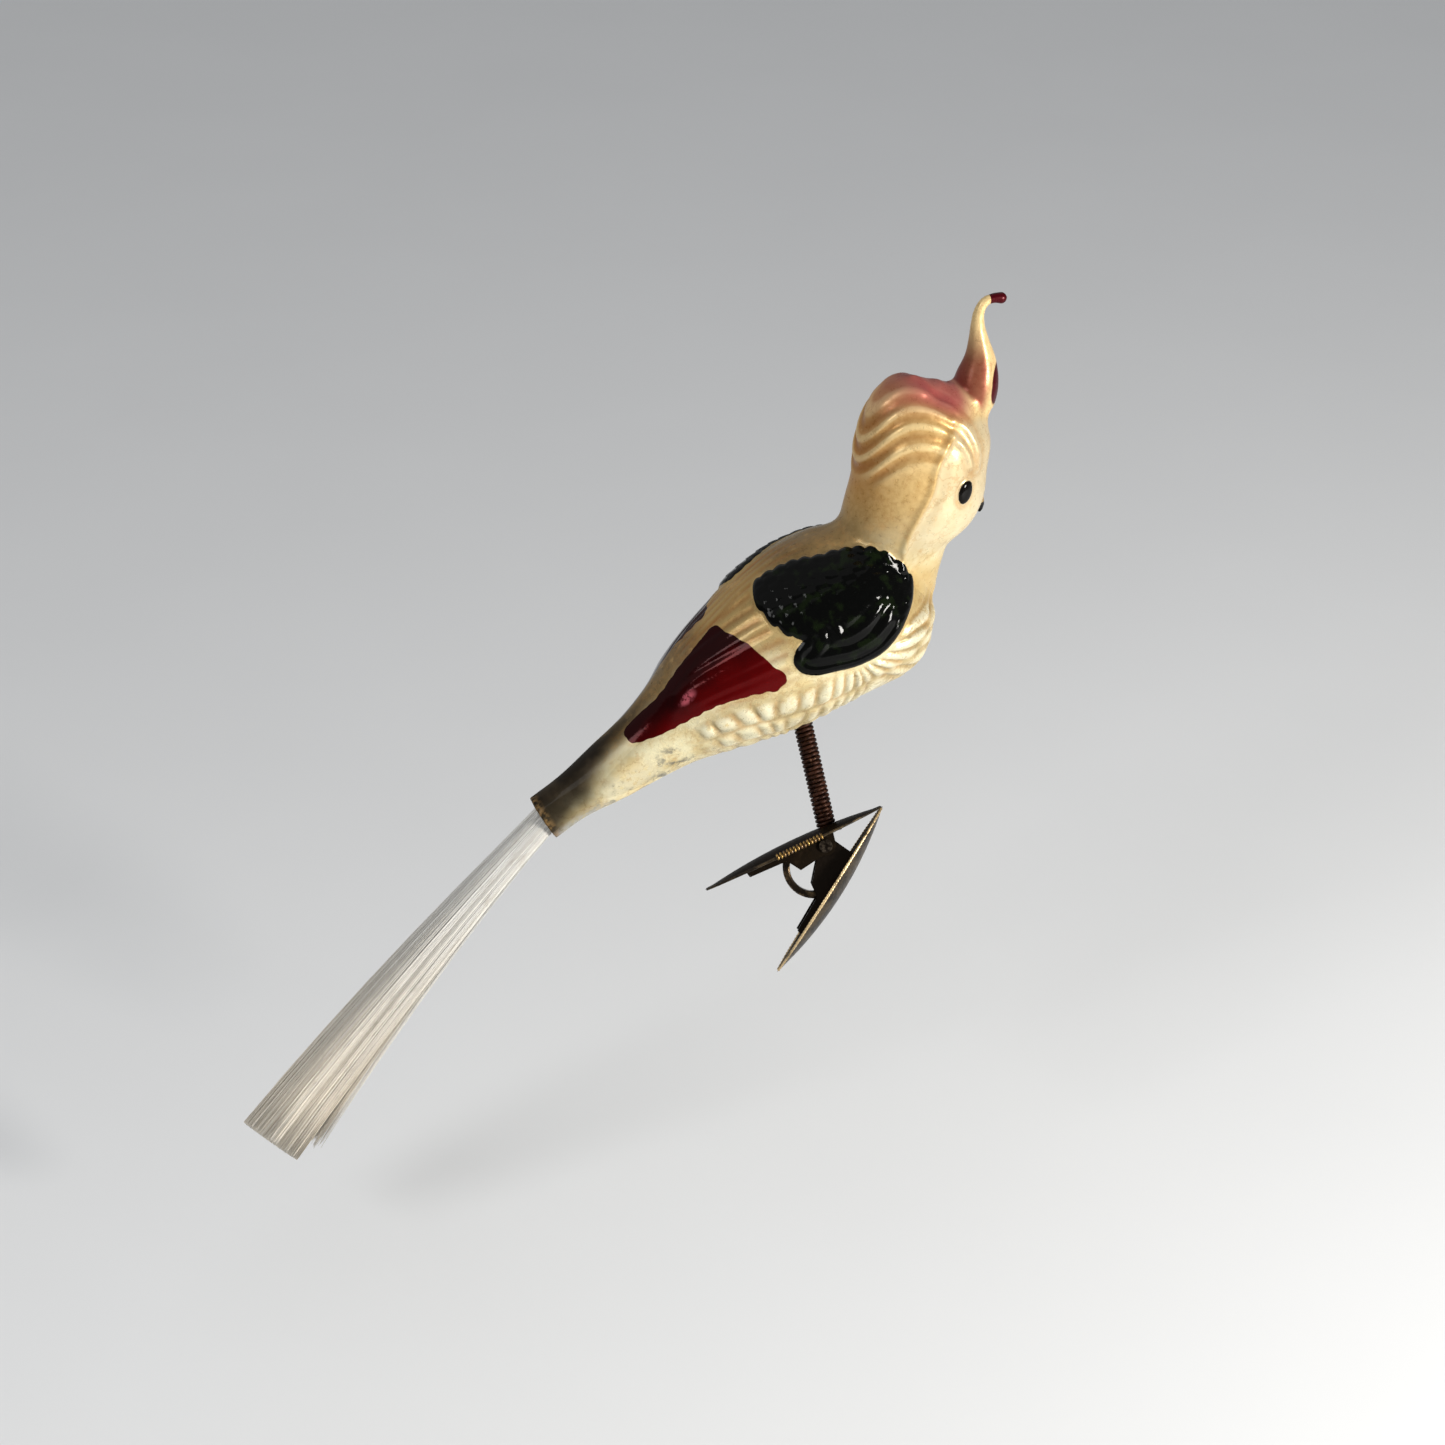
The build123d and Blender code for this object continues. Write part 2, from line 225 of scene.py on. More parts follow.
def distance_to_line(x, y, line, closed=False):
    """How far each point (x, y) is from a line, and whether it lies inside it when closed."""
    ends = np.roll(line, -1, axis=0) if closed else line[1:]
    starts = line if closed else line[:-1]
    nearest = np.full(x.shape, 1e9)
    inside = np.zeros(x.shape, bool)
    for (ax, ay), (bx, by) in zip(starts, ends):
        dx, dy = bx - ax, by - ay
        t = np.clip(((x - ax) * dx + (y - ay) * dy) / (dx * dx + dy * dy + 1e-12), 0, 1)
        nearest = np.minimum(nearest, np.hypot(x - ax - t * dx, y - ay - t * dy))
        if closed and ay != by:
            crosses = (ay > y) != (by > y)
            inside ^= crosses & (x < ax + (y - ay) * dx / dy)
    return nearest, inside


def signed_inside(x, y, outline):
    """How far each point lies inside a closed outline, negative outside."""
    nearest, inside = distance_to_line(x, y, outline, closed=True)
    return np.where(inside, nearest, -nearest)


# ------------------------ meshes


def placed(name, mesh, materials=()):
    """The smooth-shaded object of a mesh."""
    mesh.polygons.foreach_set("use_smooth", [True] * len(mesh.polygons))
    obj = bpy.data.objects.new(name, mesh)
    bpy.context.scene.collection.objects.link(obj)
    for m in materials:
        mesh.materials.append(m)
    return obj


def mesh_piece(name, points, faces, materials=()):
    """A mesh object from points in millimetres."""
    mesh = bpy.data.meshes.new(name)
    mesh.from_pydata((np.asarray(points) * MM).tolist(), [], [tuple(int(i) for i in f) for f in faces])
    mesh.validate()
    return placed(name, mesh, materials)


def closed_tube(rings):
    """Points and faces of a tube through rings of equal size, fanned to a point in each end."""
    rings = np.asarray(rings, float)
    count, sides = rings.shape[:2]
    points = np.vstack([rings.reshape(-1, 3), rings[0].mean(0), rings[-1].mean(0)])
    pairs = [(k, (k + 1) % sides) for k in range(sides)]
    faces = []
    for a in range(0, (count - 1) * sides, sides):
        faces += [(a + k, a + n, a + sides + n, a + sides + k) for k, n in pairs]
    start, last = count * sides, (count - 1) * sides
    for k, n in pairs:
        faces.append((start, n, k))
        faces.append((start + 1, last + k, last + n))
    return points, faces


def oval(centre, x_dir, y_dir, x_half, y_half, sides=72):
    """A ring of points."""
    a = np.linspace(0, 2 * math.pi, sides, endpoint=False)[:, None]
    return centre + np.cos(a) * x_half * np.asarray(x_dir) + np.sin(a) * y_half * np.asarray(y_dir)


def along_line(line, radii, sides, across):
    """Round rings along a line of points. across is a direction that stays across the line."""
    rings = []
    tangents = np.gradient(line, axis=0)
    for p, t, radius in zip(line, tangents, radii):
        side = unit(across - unit(t) * np.dot(across, unit(t)))
        rings.append(oval(p, side, np.cross(unit(t), side), radius, radius, sides))
    return rings


def joined(parts):
    """Several (points, faces) as one."""
    points, faces, first = [], [], 0
    for p, f in parts:
        points.append(p)
        faces += [tuple(i + first for i in face) for face in f]
        first += len(p)
    return np.vstack(points), faces


def remeshed(points, faces, voxel):
    """One even skin round closed shells that overlap."""
    obj = mesh_piece("scratch", points, faces)
    remesh = obj.modifiers.new("remesh", "REMESH")
    remesh.mode = "VOXEL"
    remesh.voxel_size = voxel * MM
    graph = bpy.context.evaluated_depsgraph_get()
    mesh = bpy.data.meshes.new_from_object(obj.evaluated_get(graph))
    bpy.data.objects.remove(obj)
    return mesh


def read(items, key, width, kind=float):
    """An array of a mesh's numbers, with this many for each item."""
    values = np.zeros(len(items) * width, kind)
    items.foreach_get(key, values)
    return values.reshape(-1, width)


def write_points(mesh, points):
    """Moves a mesh's points to these places in millimetres."""
    mesh.vertices.foreach_set("co", (points * MM).ravel())
    mesh.update()


def relaxed(points, edges, weight, rounds):
    """Points drawn towards the middle of their neighbours, by weight."""
    a, b = edges[:, 0], edges[:, 1]
    count = len(points)
    degree = np.maximum(np.bincount(a, minlength=count) + np.bincount(b, minlength=count), 1)
    for _ in range(rounds):
        middle = np.empty_like(points)
        for c in range(3):
            total = np.bincount(a, points[b, c], count) + np.bincount(b, points[a, c], count)
            middle[:, c] = total / degree
        points = points + (middle - points) * weight[:, None]
    return points


def store(mesh, name, values):
    """One number for each point, for the material to read."""
    attribute = mesh.attributes.new(name, "FLOAT", "POINT")
    attribute.data.foreach_set("value", np.asarray(values, np.float32))


# ------------------------ the glass bird: its plain shape


def body_place(p):
    """Station, height and left-right distance of points, from the tail tube's axis."""
    q = p - MOUTH
    return q @ FORWARD, q @ UPWARD, p[:, 1] - MIDDLE_Y


def body_clearance(p):
    """About how far points are outside the body."""
    s, h, y = body_place(p)
    half = np.maximum(through(s, BODY, 2), 0.3)
    share = np.hypot((h - through(s, BODY, 1)) / half, y / (half * BODY_NARROWING))
    return (share - 1) * half + np.maximum(s - BREAST_END, 0)


def head_clearance(p):
    """About how far points are outside the head and neck."""
    z = p[:, 2]
    half = np.maximum(through(z, HEAD, 2), 0.3)
    share = np.hypot((p[:, 0] - through(z, HEAD, 1)) / half, (p[:, 1] - MIDDLE_Y) / (half * HEAD_NARROWING))
    return (share - 1) * half + np.maximum(z - HEAD[-1, 0], 0)


def line_clearance(p, table):
    """How far points are outside a drawn-out tip that follows a table of forward, height and radius."""
    line = smooth_line(table, 60)
    nearest = np.full(len(p), 1e9)
    for x, z, radius in line:
        away = np.sqrt((p[:, 0] - x) ** 2 + (p[:, 1] - MIDDLE_Y) ** 2 + (p[:, 2] - z) ** 2) - radius
        nearest = np.minimum(nearest, away)
    return nearest


def body_shell():
    """The body and tail tube, with the tube's open mouth."""
    def section(s, inset=0.0):
        half = through(s, BODY, 2)
        centre = MOUTH + FORWARD * s + UPWARD * through(s, BODY, 1)
        return oval(centre, UPWARD, LEFT, half - inset, half * BODY_NARROWING - inset)

    rings = [section(s, WALL) for s in (MOUTH_DEPTH, MOUTH_DEPTH / 2, 0.0)]
    rings += [section(s) for s in np.linspace(0, 60, 90)]
    rings += [section(s) for s in np.linspace(60.3, BREAST_END, 30)]
    return closed_tube(rings)


def head_shell():
    """The neck, face and hood."""
    rings = []
    for z in np.concatenate([np.linspace(HEAD[0, 0], 60, 60), np.linspace(60.3, HEAD[-1, 0], 24)]):
        half = through(z, HEAD, 2)
        centre = np.array([through(z, HEAD, 1), MIDDLE_Y, z])
        rings.append(oval(centre, (1, 0, 0), LEFT, half, half * HEAD_NARROWING))
    return closed_tube(rings)


def drawn_tip(table, end_radius=None):
    """A tapering tip that follows a table of forward, height and radius, with a rounded end."""
    line = smooth_line(table, 60)
    centres = np.column_stack([line[:, 0], np.full(len(line), MIDDLE_Y), line[:, 1]])
    parts = [closed_tube(along_line(centres, line[:, 2], 32, LEFT))]
    radius = end_radius or line[-1, 2]
    angles = np.linspace(0.05, math.pi - 0.05, 14)
    direction = unit(centres[-1] - centres[-2])
    ball = [oval(centres[-1] - direction * radius * math.cos(a), LEFT, np.cross(direction, LEFT),
                 radius * math.sin(a), radius * math.sin(a), 24) for a in angles]
    parts.append(closed_tube(ball))
    return joined(parts)


# ------------------------ the glass bird: its moulded and painted marks

# outlines on the flank, mirrored on both sides: station, and degrees up from straight sideways
WING_OUTLINE = [
    (45.3, 81), (48.8, 80), (51.8, 77), (55.0, 71.5), (57.4, 70.5), (59.5, 68), (61.5, 62.5), (63.0, 55.5),
    (64.2, 46), (64.7, 37), (64.4, 25), (63.0, 11), (60.4, 2), (57.4, -5), (54.4, -9.5), (51.2, -10.2),
    (47.6, -5), (45.2, -0.5), (43.5, 7), (43.2, 15), (44.4, 22.5), (46.2, 25.4), (45.0, 31.5), (44.2, 39.5),
    (43.5, 52.5), (43.7, 68),
]
TAIL_PATCH_OUTLINE = [
    (36.8, 76), (37.7, 64), (38.9, 51), (39.9, 37), (40.4, 25), (41.3, 10), (40.3, 5.5), (36, 11), (31, 17.5),
    (26, 22), (21.4, 29), (19.3, 36), (17.6, 44), (17.0, 61), (17.6, 75), (20, 76), (23.6, 71), (29.5, 72.5),
    (33.9, 75),
]
ARC_RADIUS = 12.0  # turns those degrees into about as many millimetres

# lines on the head, seen from its side: forward, height
CHEEK_RIDGE = [(10.1, 57.4), (7.8, 53.8), (6.8, 49.5), (4.8, 45.5), (3.4, 42.1), (3.0, 37.0), (2.3, 35.4)]
CHEVRONS = [
    [(10.1, 57.4), (11.6, 56.0), (12.6, 54.2), (13.1, 52.4)],
    [(10.9, 59.6), (12.3, 58.4), (13.5, 56.3), (14.2, 54.0), (14.3, 51.6)],
]
HOOD_MIDDLE = 5.2  # forward
HOOD_CRESTS = (50.6, 53.6, 56.6, 59.4, 61.5, 63.6, 65.4)  # the bands' heights there
EYE = (12.4, 48.6)
EYE_HALF = (1.25, 1.8)
EYE_LEAN = 13.0

SCALE_PITCH = (1.9, 1.55)
RIB_PITCH = 2.6
RIB_COUNT = ((20, 45, 50), (0.0, 8.4, 11.2))  # at these stations, how many ribs lie behind
# the middle of the upper row of ribs: station, degrees up from sideways
RIB_ROW = np.array([
    (20, 1), (29, -1), (34, -4), (38, -9.5), (42, -15.5), (46, -19), (50, -20), (54, -17), (58, -11), (67, 5),
])
RIB_ROW_STEP = 4.7
RIB_HALF = 2.3


def flank_place(p):
    """Where points are on the body's skin: station, arc up from straight sideways, and degrees."""
    s, h, y = body_place(p)
    half = np.maximum(through(s, BODY, 2), 0.3)
    degrees = np.degrees(np.arctan2((h - through(s, BODY, 1)) / half, np.abs(y) / (half * BODY_NARROWING)))
    return s, ARC_RADIUS * np.radians(degrees), degrees


def outline_depth(s, arc, outline, count=140):
    """How far inside a flank outline points lie."""
    pairs = [(station, ARC_RADIUS * math.radians(a)) for station, a in outline]
    return signed_inside(s, arc, smooth_line(pairs, count, closed=True))


def shingles(u, v):
    """Rows of overlapping round-ended scales, 0 to 1, that point towards +u."""
    height = np.zeros_like(u)
    for row_step in (0, 1, 2):
        row = np.floor(u) - row_step
        shift = 0.5 * (np.mod(row, 2))
        across = np.mod(v + shift, 1.0) - 0.5
        reach = u - row  # 0 at the row's root and about 2 at the scales' tips
        tip = 1.0 + math.sqrt(0.5) * np.sqrt(np.maximum(0.5 - 2 * across**2, 0)) * 1.3
        inside = reach < tip
        rise = 0.35 + 0.65 * reach / 2.0
        body = rise * (1 - 1.2 * across**2)
        height = np.where(inside, np.maximum(height, body), height)
    return height


def bird_relief(p):
    """The moulded relief, in millimetres, and the numbers that the bird's material reads."""
    s, arc, degrees = flank_place(p)
    _, h, y = body_place(p)
    on_body = smooth(-1.5, 0.5, head_clearance(p))
    on_head = 1 - smooth(-0.5, 1.5, head_clearance(p))

    # the wing: a raised pad with scalloped edge, rows of scales and long feathers
    far = np.where(y > 0, 1.0, 0.0)  # the left side's painting sits a little otherwise
    depth = outline_depth(s + 2.8 * far, arc + far * (1.5 + 1.9 * smooth(46, 54, s)), WING_OUTLINE)
    over_lobe = arc - 5.3 + 0.05 * (s - 46.2)
    upper_edge = smooth(-4, 3, over_lobe)
    wing = depth + (0.42 * np.abs(np.sin(math.pi * (s - 0.5 * arc) / 2.1)) - 0.25) * upper_edge
    pad = smooth(-0.35, 0.55, wing)
    quills = (1 - smooth(-0.8, 0.8, over_lobe)) * (1 - smooth(57, 61, s))
    long_feathers = (0.5 + 0.5 * np.cos(2 * math.pi * (depth - 0.5) / 2.2)) ** 0.7
    scales = shingles((64.5 - s) / SCALE_PITCH[0], (arc + 0.12 * s) / SCALE_PITCH[1])
    inner = smooth(0.3, 1.1, wing)
    feather = (1 - quills) * 0.34 * scales + quills * 0.30 * long_feathers
    relief = 0.42 * pad + inner * (feather - 0.1)

    # the tail patch and the long feathers between it and the wing
    lower = far * (1.8 * smooth(23, 33, s) - 0.9 * (1 - smooth(19, 26, s)))
    patch = outline_depth(s, arc - lower, TAIL_PATCH_OUTLINE)
    patch += 0.16 * np.sin(s * 3.1 + 0.5) * np.sin(degrees * 0.21)
    fan = (0.5 + 0.5 * np.cos(2 * math.pi * (degrees + 0.9 * (s - 30)) / 10.0)) ** 0.8
    fan_share = smooth(25, 35, s) * (1 - smooth(46, 52, s))
    fan_share *= smooth(0, 9, degrees) * (1 - smooth(76, 88, degrees))
    outside_wing = 1 - smooth(-1.2, -0.2, wing)
    on_patch = smooth(-0.5, 0.5, patch)
    fan_depth = 0.14 - on_patch * (0.05 - 0.06 * np.sin(degrees * 0.26 + 1))
    relief += on_body * outside_wing * fan_share * fan_depth * (fan - 0.6)
    relief += 0.35 * on_patch * bump_of(s - 27.0, 2.6) * bump_of(degrees - 42, 13)
    groove = on_body * outside_wing * fan_share * (1 - fan) * 0.6
    streaks = 0.5 + 0.5 * np.cos(2 * math.pi * (degrees + 6 * np.sin(0.11 * s)) / 6.5)
    streak_share = smooth(72, 78, degrees) * smooth(27, 35, s) * (1 - smooth(50, 56, s))
    streak_share *= on_body * outside_wing
    relief += 0.10 * streak_share * streaks
    groove += 0.45 * streak_share * (1 - streaks)

    # the belly and breast: rows of short plump ribs that follow the lower line
    turned = np.arctan2(np.maximum(s - 50, 0), np.maximum(3 - h, 0.5))
    to_front = smooth(55, 59, s)
    up_row = (1 - to_front) * (degrees - through(s, RIB_ROW, 1)) * ARC_RADIUS * math.pi / 180
    up_row += to_front * (3.0 + np.maximum(wing, -14))
    ribs_along = np.where(s < 50, np.interp(s, *RIB_COUNT), RIB_COUNT[1][-1] + 13 * turned / RIB_PITCH)
    lean = 0.04 - 0.20 * smooth(33, 40, s) - 0.12 * smooth(42, 48, s)
    ribs_along += lean * (1 - smooth(49, 56, s)) * up_row + 0.08 * np.sin(0.9 * s)
    rib_share = smooth(23, 29, s) * smooth(0.2, 1.2, -wing) * on_body * (1 - smooth(30.5, 33, p[:, 2]))
    rib_half = RIB_HALF * (1 + 0.25 * smooth(45, 55, s))
    lump, painted_rib_shade = np.zeros_like(s), np.zeros_like(s)
    for row, strength in enumerate((1.0, 0.7, 0.5)):
        v = (up_row + RIB_ROW_STEP * row) / rib_half
        t = np.mod(ribs_along + 0.5 * row, 1.0) * 2 - 1
        uneven = 0.80 + 0.20 * np.sin(4.1 * np.floor(ribs_along + 0.5 * row) + 2.0 * row)
        plump = np.clip(1 - np.abs(v) ** 2.4, 0, 1)
        dome = np.clip(1 - np.abs(t) ** 2.2, 0, 1) * plump
        relief += rib_share * strength * uneven * (0.80 * dome - 0.24 * plump)
        # painted shade for the material: dark in the gaps between ribs, more on each rib's side away from the
        # light, and along the rows' edges
        painted_rib_shade += rib_share * strength * plump**0.5 * smooth(0.35, 0.95, np.abs(t + 0.15))
        painted_rib_shade += 0.4 * rib_share * strength * bump_of(np.abs(v) - 1.05, 0.16)
        lump = np.maximum(lump, rib_share * strength * dome)

    # the hood: curved bands, the cheek ridge and the face in front of it
    x, z = p[:, 0], p[:, 2]
    ahead = x - HOOD_MIDDLE
    level = z + np.where(ahead < 0, 0.135, 0.080) * ahead**2
    cheek = smooth_line(CHEEK_RIDGE, 60)
    to_ridge, _ = distance_to_line(x, z, cheek)
    ridge_x = np.interp(z, cheek[::-1, 1], cheek[::-1, 0])
    on_face = smooth(-0.2, 0.7, x - ridge_x) * (1 - smooth(57.5, 60.0, z))
    side = smooth(0.6, 2.2, np.abs(y))
    bands = 0.5 + 0.5 * np.cos(2 * math.pi * np.interp(level, HOOD_CRESTS, range(len(HOOD_CRESTS))))
    band_share = smooth(51.5, 56.5, level) * (1 - on_face) * on_head * (1 - smooth(10.8, 13.4, x))
    band_share *= smooth(48.5, 52.5, z)
    relief += band_share * (0.34 + 0.16 * smooth(4, -1, x)) * (bands**1.3 - 0.45)
    groove += band_share * (1 - bands**0.8) * 1.0
    ridge = bump_of(to_ridge, 0.55) * on_head * side * smooth(34, 38, z)
    relief += 0.42 * ridge
    face = on_face * smooth(38, 42, z) * on_head * side
    relief += -0.22 * face * bump_of(x - ridge_x - 1.2, 1.3)
    for chevron in CHEVRONS:
        to_line, _ = distance_to_line(x, z, smooth_line(chevron, 30))
        relief += 0.36 * bump_of(to_line, 0.45) * on_head * side
        groove += 0.55 * bump_of(to_line - 0.95, 0.4) * on_head * side

    # the eyes: a raised oval in a shallow socket
    lean = math.radians(EYE_LEAN)
    ex, ez = x - EYE[0], z - EYE[1]
    across, up = ex * math.cos(lean) - ez * math.sin(lean), ex * math.sin(lean) + ez * math.cos(lean)
    eye_share = np.hypot(across / EYE_HALF[0], up / EYE_HALF[1])
    beside = smooth(2.0, 4.0, np.abs(y))
    eye = (1 - eye_share) * EYE_HALF[0] * on_head * beside - 3.0 * (1 - beside)
    relief += 0.42 * np.sqrt(np.clip(1 - eye_share**2, 0, 1)) * beside
    relief -= 0.16 * bump_of((eye_share - 1.22) * 1.4, 0.35) * beside * on_head
    groove += 0.5 * bump_of((eye_share - 1.25) * 1.4, 0.4) * beside * on_head

    marks = {
        "wing": wing,
        "tail_patch": patch,
        "eye": eye,
        "groove": np.clip(groove, 0, 1),
        "lump": lump,
        "painted_rib_shade": np.clip(painted_rib_shade, 0, 1),
        # where the tail patch's painted pink highlight lies
        "patch_highlight": 1 - np.hypot((s - 27.8) / 1.9, (degrees - 41) * 0.19 / 1.3),
        "station": s,
        "up_share": np.clip(degrees / 90, -1, 1),
        "level": level,
        "face": face,
    }
    return relief, marks


def glass_bird():
    """The whole blown-glass bird as one skin, with its relief and painted areas."""
    voxel = SKIN_VOXEL
    shells = joined([body_shell(), head_shell(), drawn_tip(HORN, BEAD_RADIUS), drawn_tip(BEAK)])
    mesh = remeshed(*shells, voxel)
    points, edges = read(mesh.vertices, "co", 3) / MM, read(mesh.edges, "vertices", 2, int)
    s, h, _ = body_place(points)

    # fillets where the parts run into each other
    body, head = body_clearance(points), head_clearance(points)
    horn, beak = line_clearance(points, HORN), line_clearance(points, BEAK)
    neck = (1 - smooth(1.0, 4.0, np.abs(body - head))) * (1 - smooth(48, 52, points[:, 2]))
    crest = (1 - smooth(0.5, 2.6, np.abs(head - horn))) * smooth(54, 57, points[:, 2])
    bill = (1 - smooth(0.2, 1.0, np.abs(head - beak))) * smooth(15.0, 16.0, points[:, 0])
    breast = smooth(59, 63, s) * (body < head) * (1 - neck) * 0.5
    weight = np.clip(neck + crest + 0.6 * bill * (points[:, 2] < 48) + breast, 0, 1)
    scale = (SKIN_VOXEL / voxel) ** 2
    points = relaxed(points, edges, weight * 0.6, int(170 * scale))
    on_tip = smooth(63, 67, points[:, 2]) + (beak < head)
    points = relaxed(points, edges, np.where(s > 0.8, 0.5, 0.15) * np.clip(1 - on_tip, 0.1, 1), 3)
    write_points(mesh, points)

    # the leg's socket: a low collar round a shallow pit that the plaster fills
    from_belly = points - BELLY
    height = from_belly @ LEG_UP
    from_axis = np.linalg.norm(from_belly - np.outer(height, LEG_UP), axis=1)
    near = np.abs(height) < 4
    pit = near & (from_axis < 2.45)
    collar = near * bump_of(from_axis - 3.1, 0.7)

    relief, marks = bird_relief(points)
    calm = smooth(4.0, 6.5, from_axis + np.where(near, 0, 20))
    to_front = smooth(12, 15, points[:, 0]) * (beak > 1.5)
    x, z = points[:, 0], points[:, 2]
    full = (0.55 * bump_of(z - 61.5, 4.5) + 0.35 * bump_of(z - 55, 3.5)) * to_front
    full += 0.8 * smooth(60, 64, s) * smooth(-7, -2, h) * (1 - smooth(27, 31, z))
    full -= 0.9 * bump_of(x - 9.6, 2.0) * smooth(60, 63, z) * (horn > 1.0)
    points = points + read(mesh.vertex_normals, "vector", 3) * (relief * calm + 0.30 * collar + full)[:, None]
    points[pit] += LEG_UP * 1.1
    marks["beak"] = np.where(beak < head, smooth_beak(points), -2.0)
    marks.update(horn_marks(points, head, horn))
    marks["forward"] = points[:, 0]
    marks["height"] = points[:, 2]
    write_points(mesh, points)
    for name, values in marks.items():
        store(mesh, name, values)
    mesh.name = "bird_glass"
    obj = placed("bird_glass", mesh, [lacquered_glass()])
    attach(obj, "bird")
    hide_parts("glass_body")
    return obj


def horn_marks(points, head, horn):
    """Where the horn is, how far round to its front points lie, and its red spot and bead."""
    x, z = points[:, 0], points[:, 2]
    on_horn = smooth(-0.5, 1.5, head - horn)
    order = HORN[HORN[:, 1] < HORN_BEND_HEIGHT]
    middle = np.interp(z, order[:, 1], order[:, 0])
    radius = np.interp(z, order[:, 1], order[:, 2])
    front = np.clip((x - middle) / radius, -1, 1)
    spot = 1 - np.hypot((z - RED_SPOT_HEIGHT) / RED_SPOT_HALF, (1 - front) / 0.55)
    bead = smooth(17.6, 18.3, x) * (z > HORN_BEND_HEIGHT)
    return {"horn": on_horn, "horn_front": front, "horn_red": np.maximum(0.5 + spot, bead) * (on_horn > 0.2)}


def smooth_beak(points):
    """How far each point lies within the beak's dark end."""
    return np.minimum(points[:, 0] - BEAK_DARK_FROM[0], BEAK_DARK_FROM[1] - points[:, 2])


# ------------------------ the spun-glass tail


BRUSH_ALONG = np.array([-math.cos(math.radians(BRUSH_DROOP)), 0.0, -math.sin(math.radians(BRUSH_DROOP))])
BRUSH_UP = np.array([BRUSH_ALONG[2], 0.0, -BRUSH_ALONG[0]])
BRUSH_START = -BRUSH_IN_TUBE / BRUSH_LENGTH
HEART_SHARE = 0.93  # of the brush's radius, taken up by its dense middle


def tail_line(share):
    """The middle of the tail brush at a share of its length, and its radius there."""
    share = np.asarray(share, float)
    rise = 4 * BRUSH_BOW * share * (1 - share)
    root = MOUTH - UPWARD * BRUSH_ROOT_DROP
    middle = root + BRUSH_ALONG * BRUSH_LENGTH * share[..., None] + BRUSH_UP * rise[..., None]
    return middle, BRUSH_ROOT_RADIUS + (BRUSH_END_RADIUS - BRUSH_ROOT_RADIUS) * np.clip(share, 0, 1)


def tail_cut(up, out):
    """The share of the brush's length at which its slanted cut ends a fibre."""
    return 1.0265 - 0.010 * up + 0.031 * out


def tail_fibres():
    """A few thousand glass fibres, each a thin three-sided strand, cut off on a slant."""
    rng = np.random.default_rng(7)
    count = FIBRES
    steps = 8
    place = np.sqrt(rng.random(count))
    turn = rng.random(count) * 2 * math.pi
    u, v = place * np.cos(turn), place * np.sin(turn)
    u = np.where(u < 0, u * 0.80, u)
    veil = (np.arange(count) % 9 == 0) & (v < 0.3)  # loose fibres that hang off the lower side
    u = np.where(veil, -0.62 - 0.48 * rng.random(count), u)
    v = np.where(veil, v * 0.6, v)
    wander = rng.normal(0, 1, (count, 4))
    points, faces, shade, places = [], [], [], []
    sides = 3
    corner = np.linspace(0, 2 * math.pi, sides, endpoint=False)
    for i in range(count):
        end = tail_cut(u[i], v[i]) - 0.003 * abs(wander[i, 0])
        if veil[i]:
            end = 0.97 - 0.05 * rng.random()
        share = np.linspace(BRUSH_START, end, steps)
        middle, radius = tail_line(share)
        drift = 0.015 * np.sin(share * 5 + wander[i, 1] * 3) * share
        up = (u[i] * (1 - 0.3 * veil[i] * (1 - np.clip(share, 0, 1))) + drift) * radius
        out = (v[i] + 0.05 * wander[i, 2] * np.clip(share, 0, 1) * (1 - place[i])) * radius
        line = middle + BRUSH_UP * up[:, None] + LEFT * out[:, None]
        thick = (0.024 if veil[i] else 0.038) + 0.016 * rng.random()
        spin = rng.random() * 2 * math.pi
        first = len(points) * steps * sides
        ring = [line + thick * (math.cos(c + spin) * BRUSH_UP + math.sin(c + spin) * LEFT) for c in corner]
        points.append(np.stack(ring, axis=1).reshape(-1, 3))
        for r in range(steps - 1):
            for k in range(sides):
                a, b = first + r * sides + k, first + r * sides + (k + 1) % sides
                faces.append((a, b, b + sides, a + sides))
        tip = first + (steps - 1) * sides
        faces.append((tip, tip + 1, tip + 2))
        shade.append(np.full(steps * sides, rng.random()))
        places.append(np.repeat(share, sides))
    obj = mesh_piece("tail_fibres", np.vstack(points), faces, [spun_glass()])
    store(obj.data, "strand", np.concatenate(shade))
    store(obj.data, "along", np.concatenate(places))
    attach(obj, "bird")
    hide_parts("tail_brush")
    return obj


def tail_heart():
    """The dense middle of the brush, finely grooved along its length, that the loose fibres lie on."""
    sides, steps = 180, 50
    a = np.linspace(0, 2 * math.pi, sides, endpoint=False)
    fine = 0.012 * np.sin(a * 31) + 0.015 * np.sin(a * 47 + 1) + 0.012 * np.sin(a * 13 + 2)
    u, v = np.cos(a) * (1 + fine), np.sin(a) * (1 + fine)
    u = np.where(u < 0, u * 0.80, u)
    rings = []
    for step in np.linspace(0, 1, steps):
        middle, radius = tail_line(BRUSH_START + step * (tail_cut(u, v) - 0.004 - BRUSH_START))
        radius = HEART_SHARE * radius
        rings.append(middle + BRUSH_UP * (u * radius)[:, None] + LEFT * (v * radius)[:, None])
    points, faces = closed_tube(rings)
    obj = mesh_piece("tail_heart", points, faces, [spun_glass()])
    store(obj.data, "along", np.append(np.repeat(np.linspace(0, 1, steps), sides), (0, 1)))
    store(obj.data, "strand", np.full(len(points), 0.5))
    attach(obj, "bird")
    return obj


# ------------------------ the leg


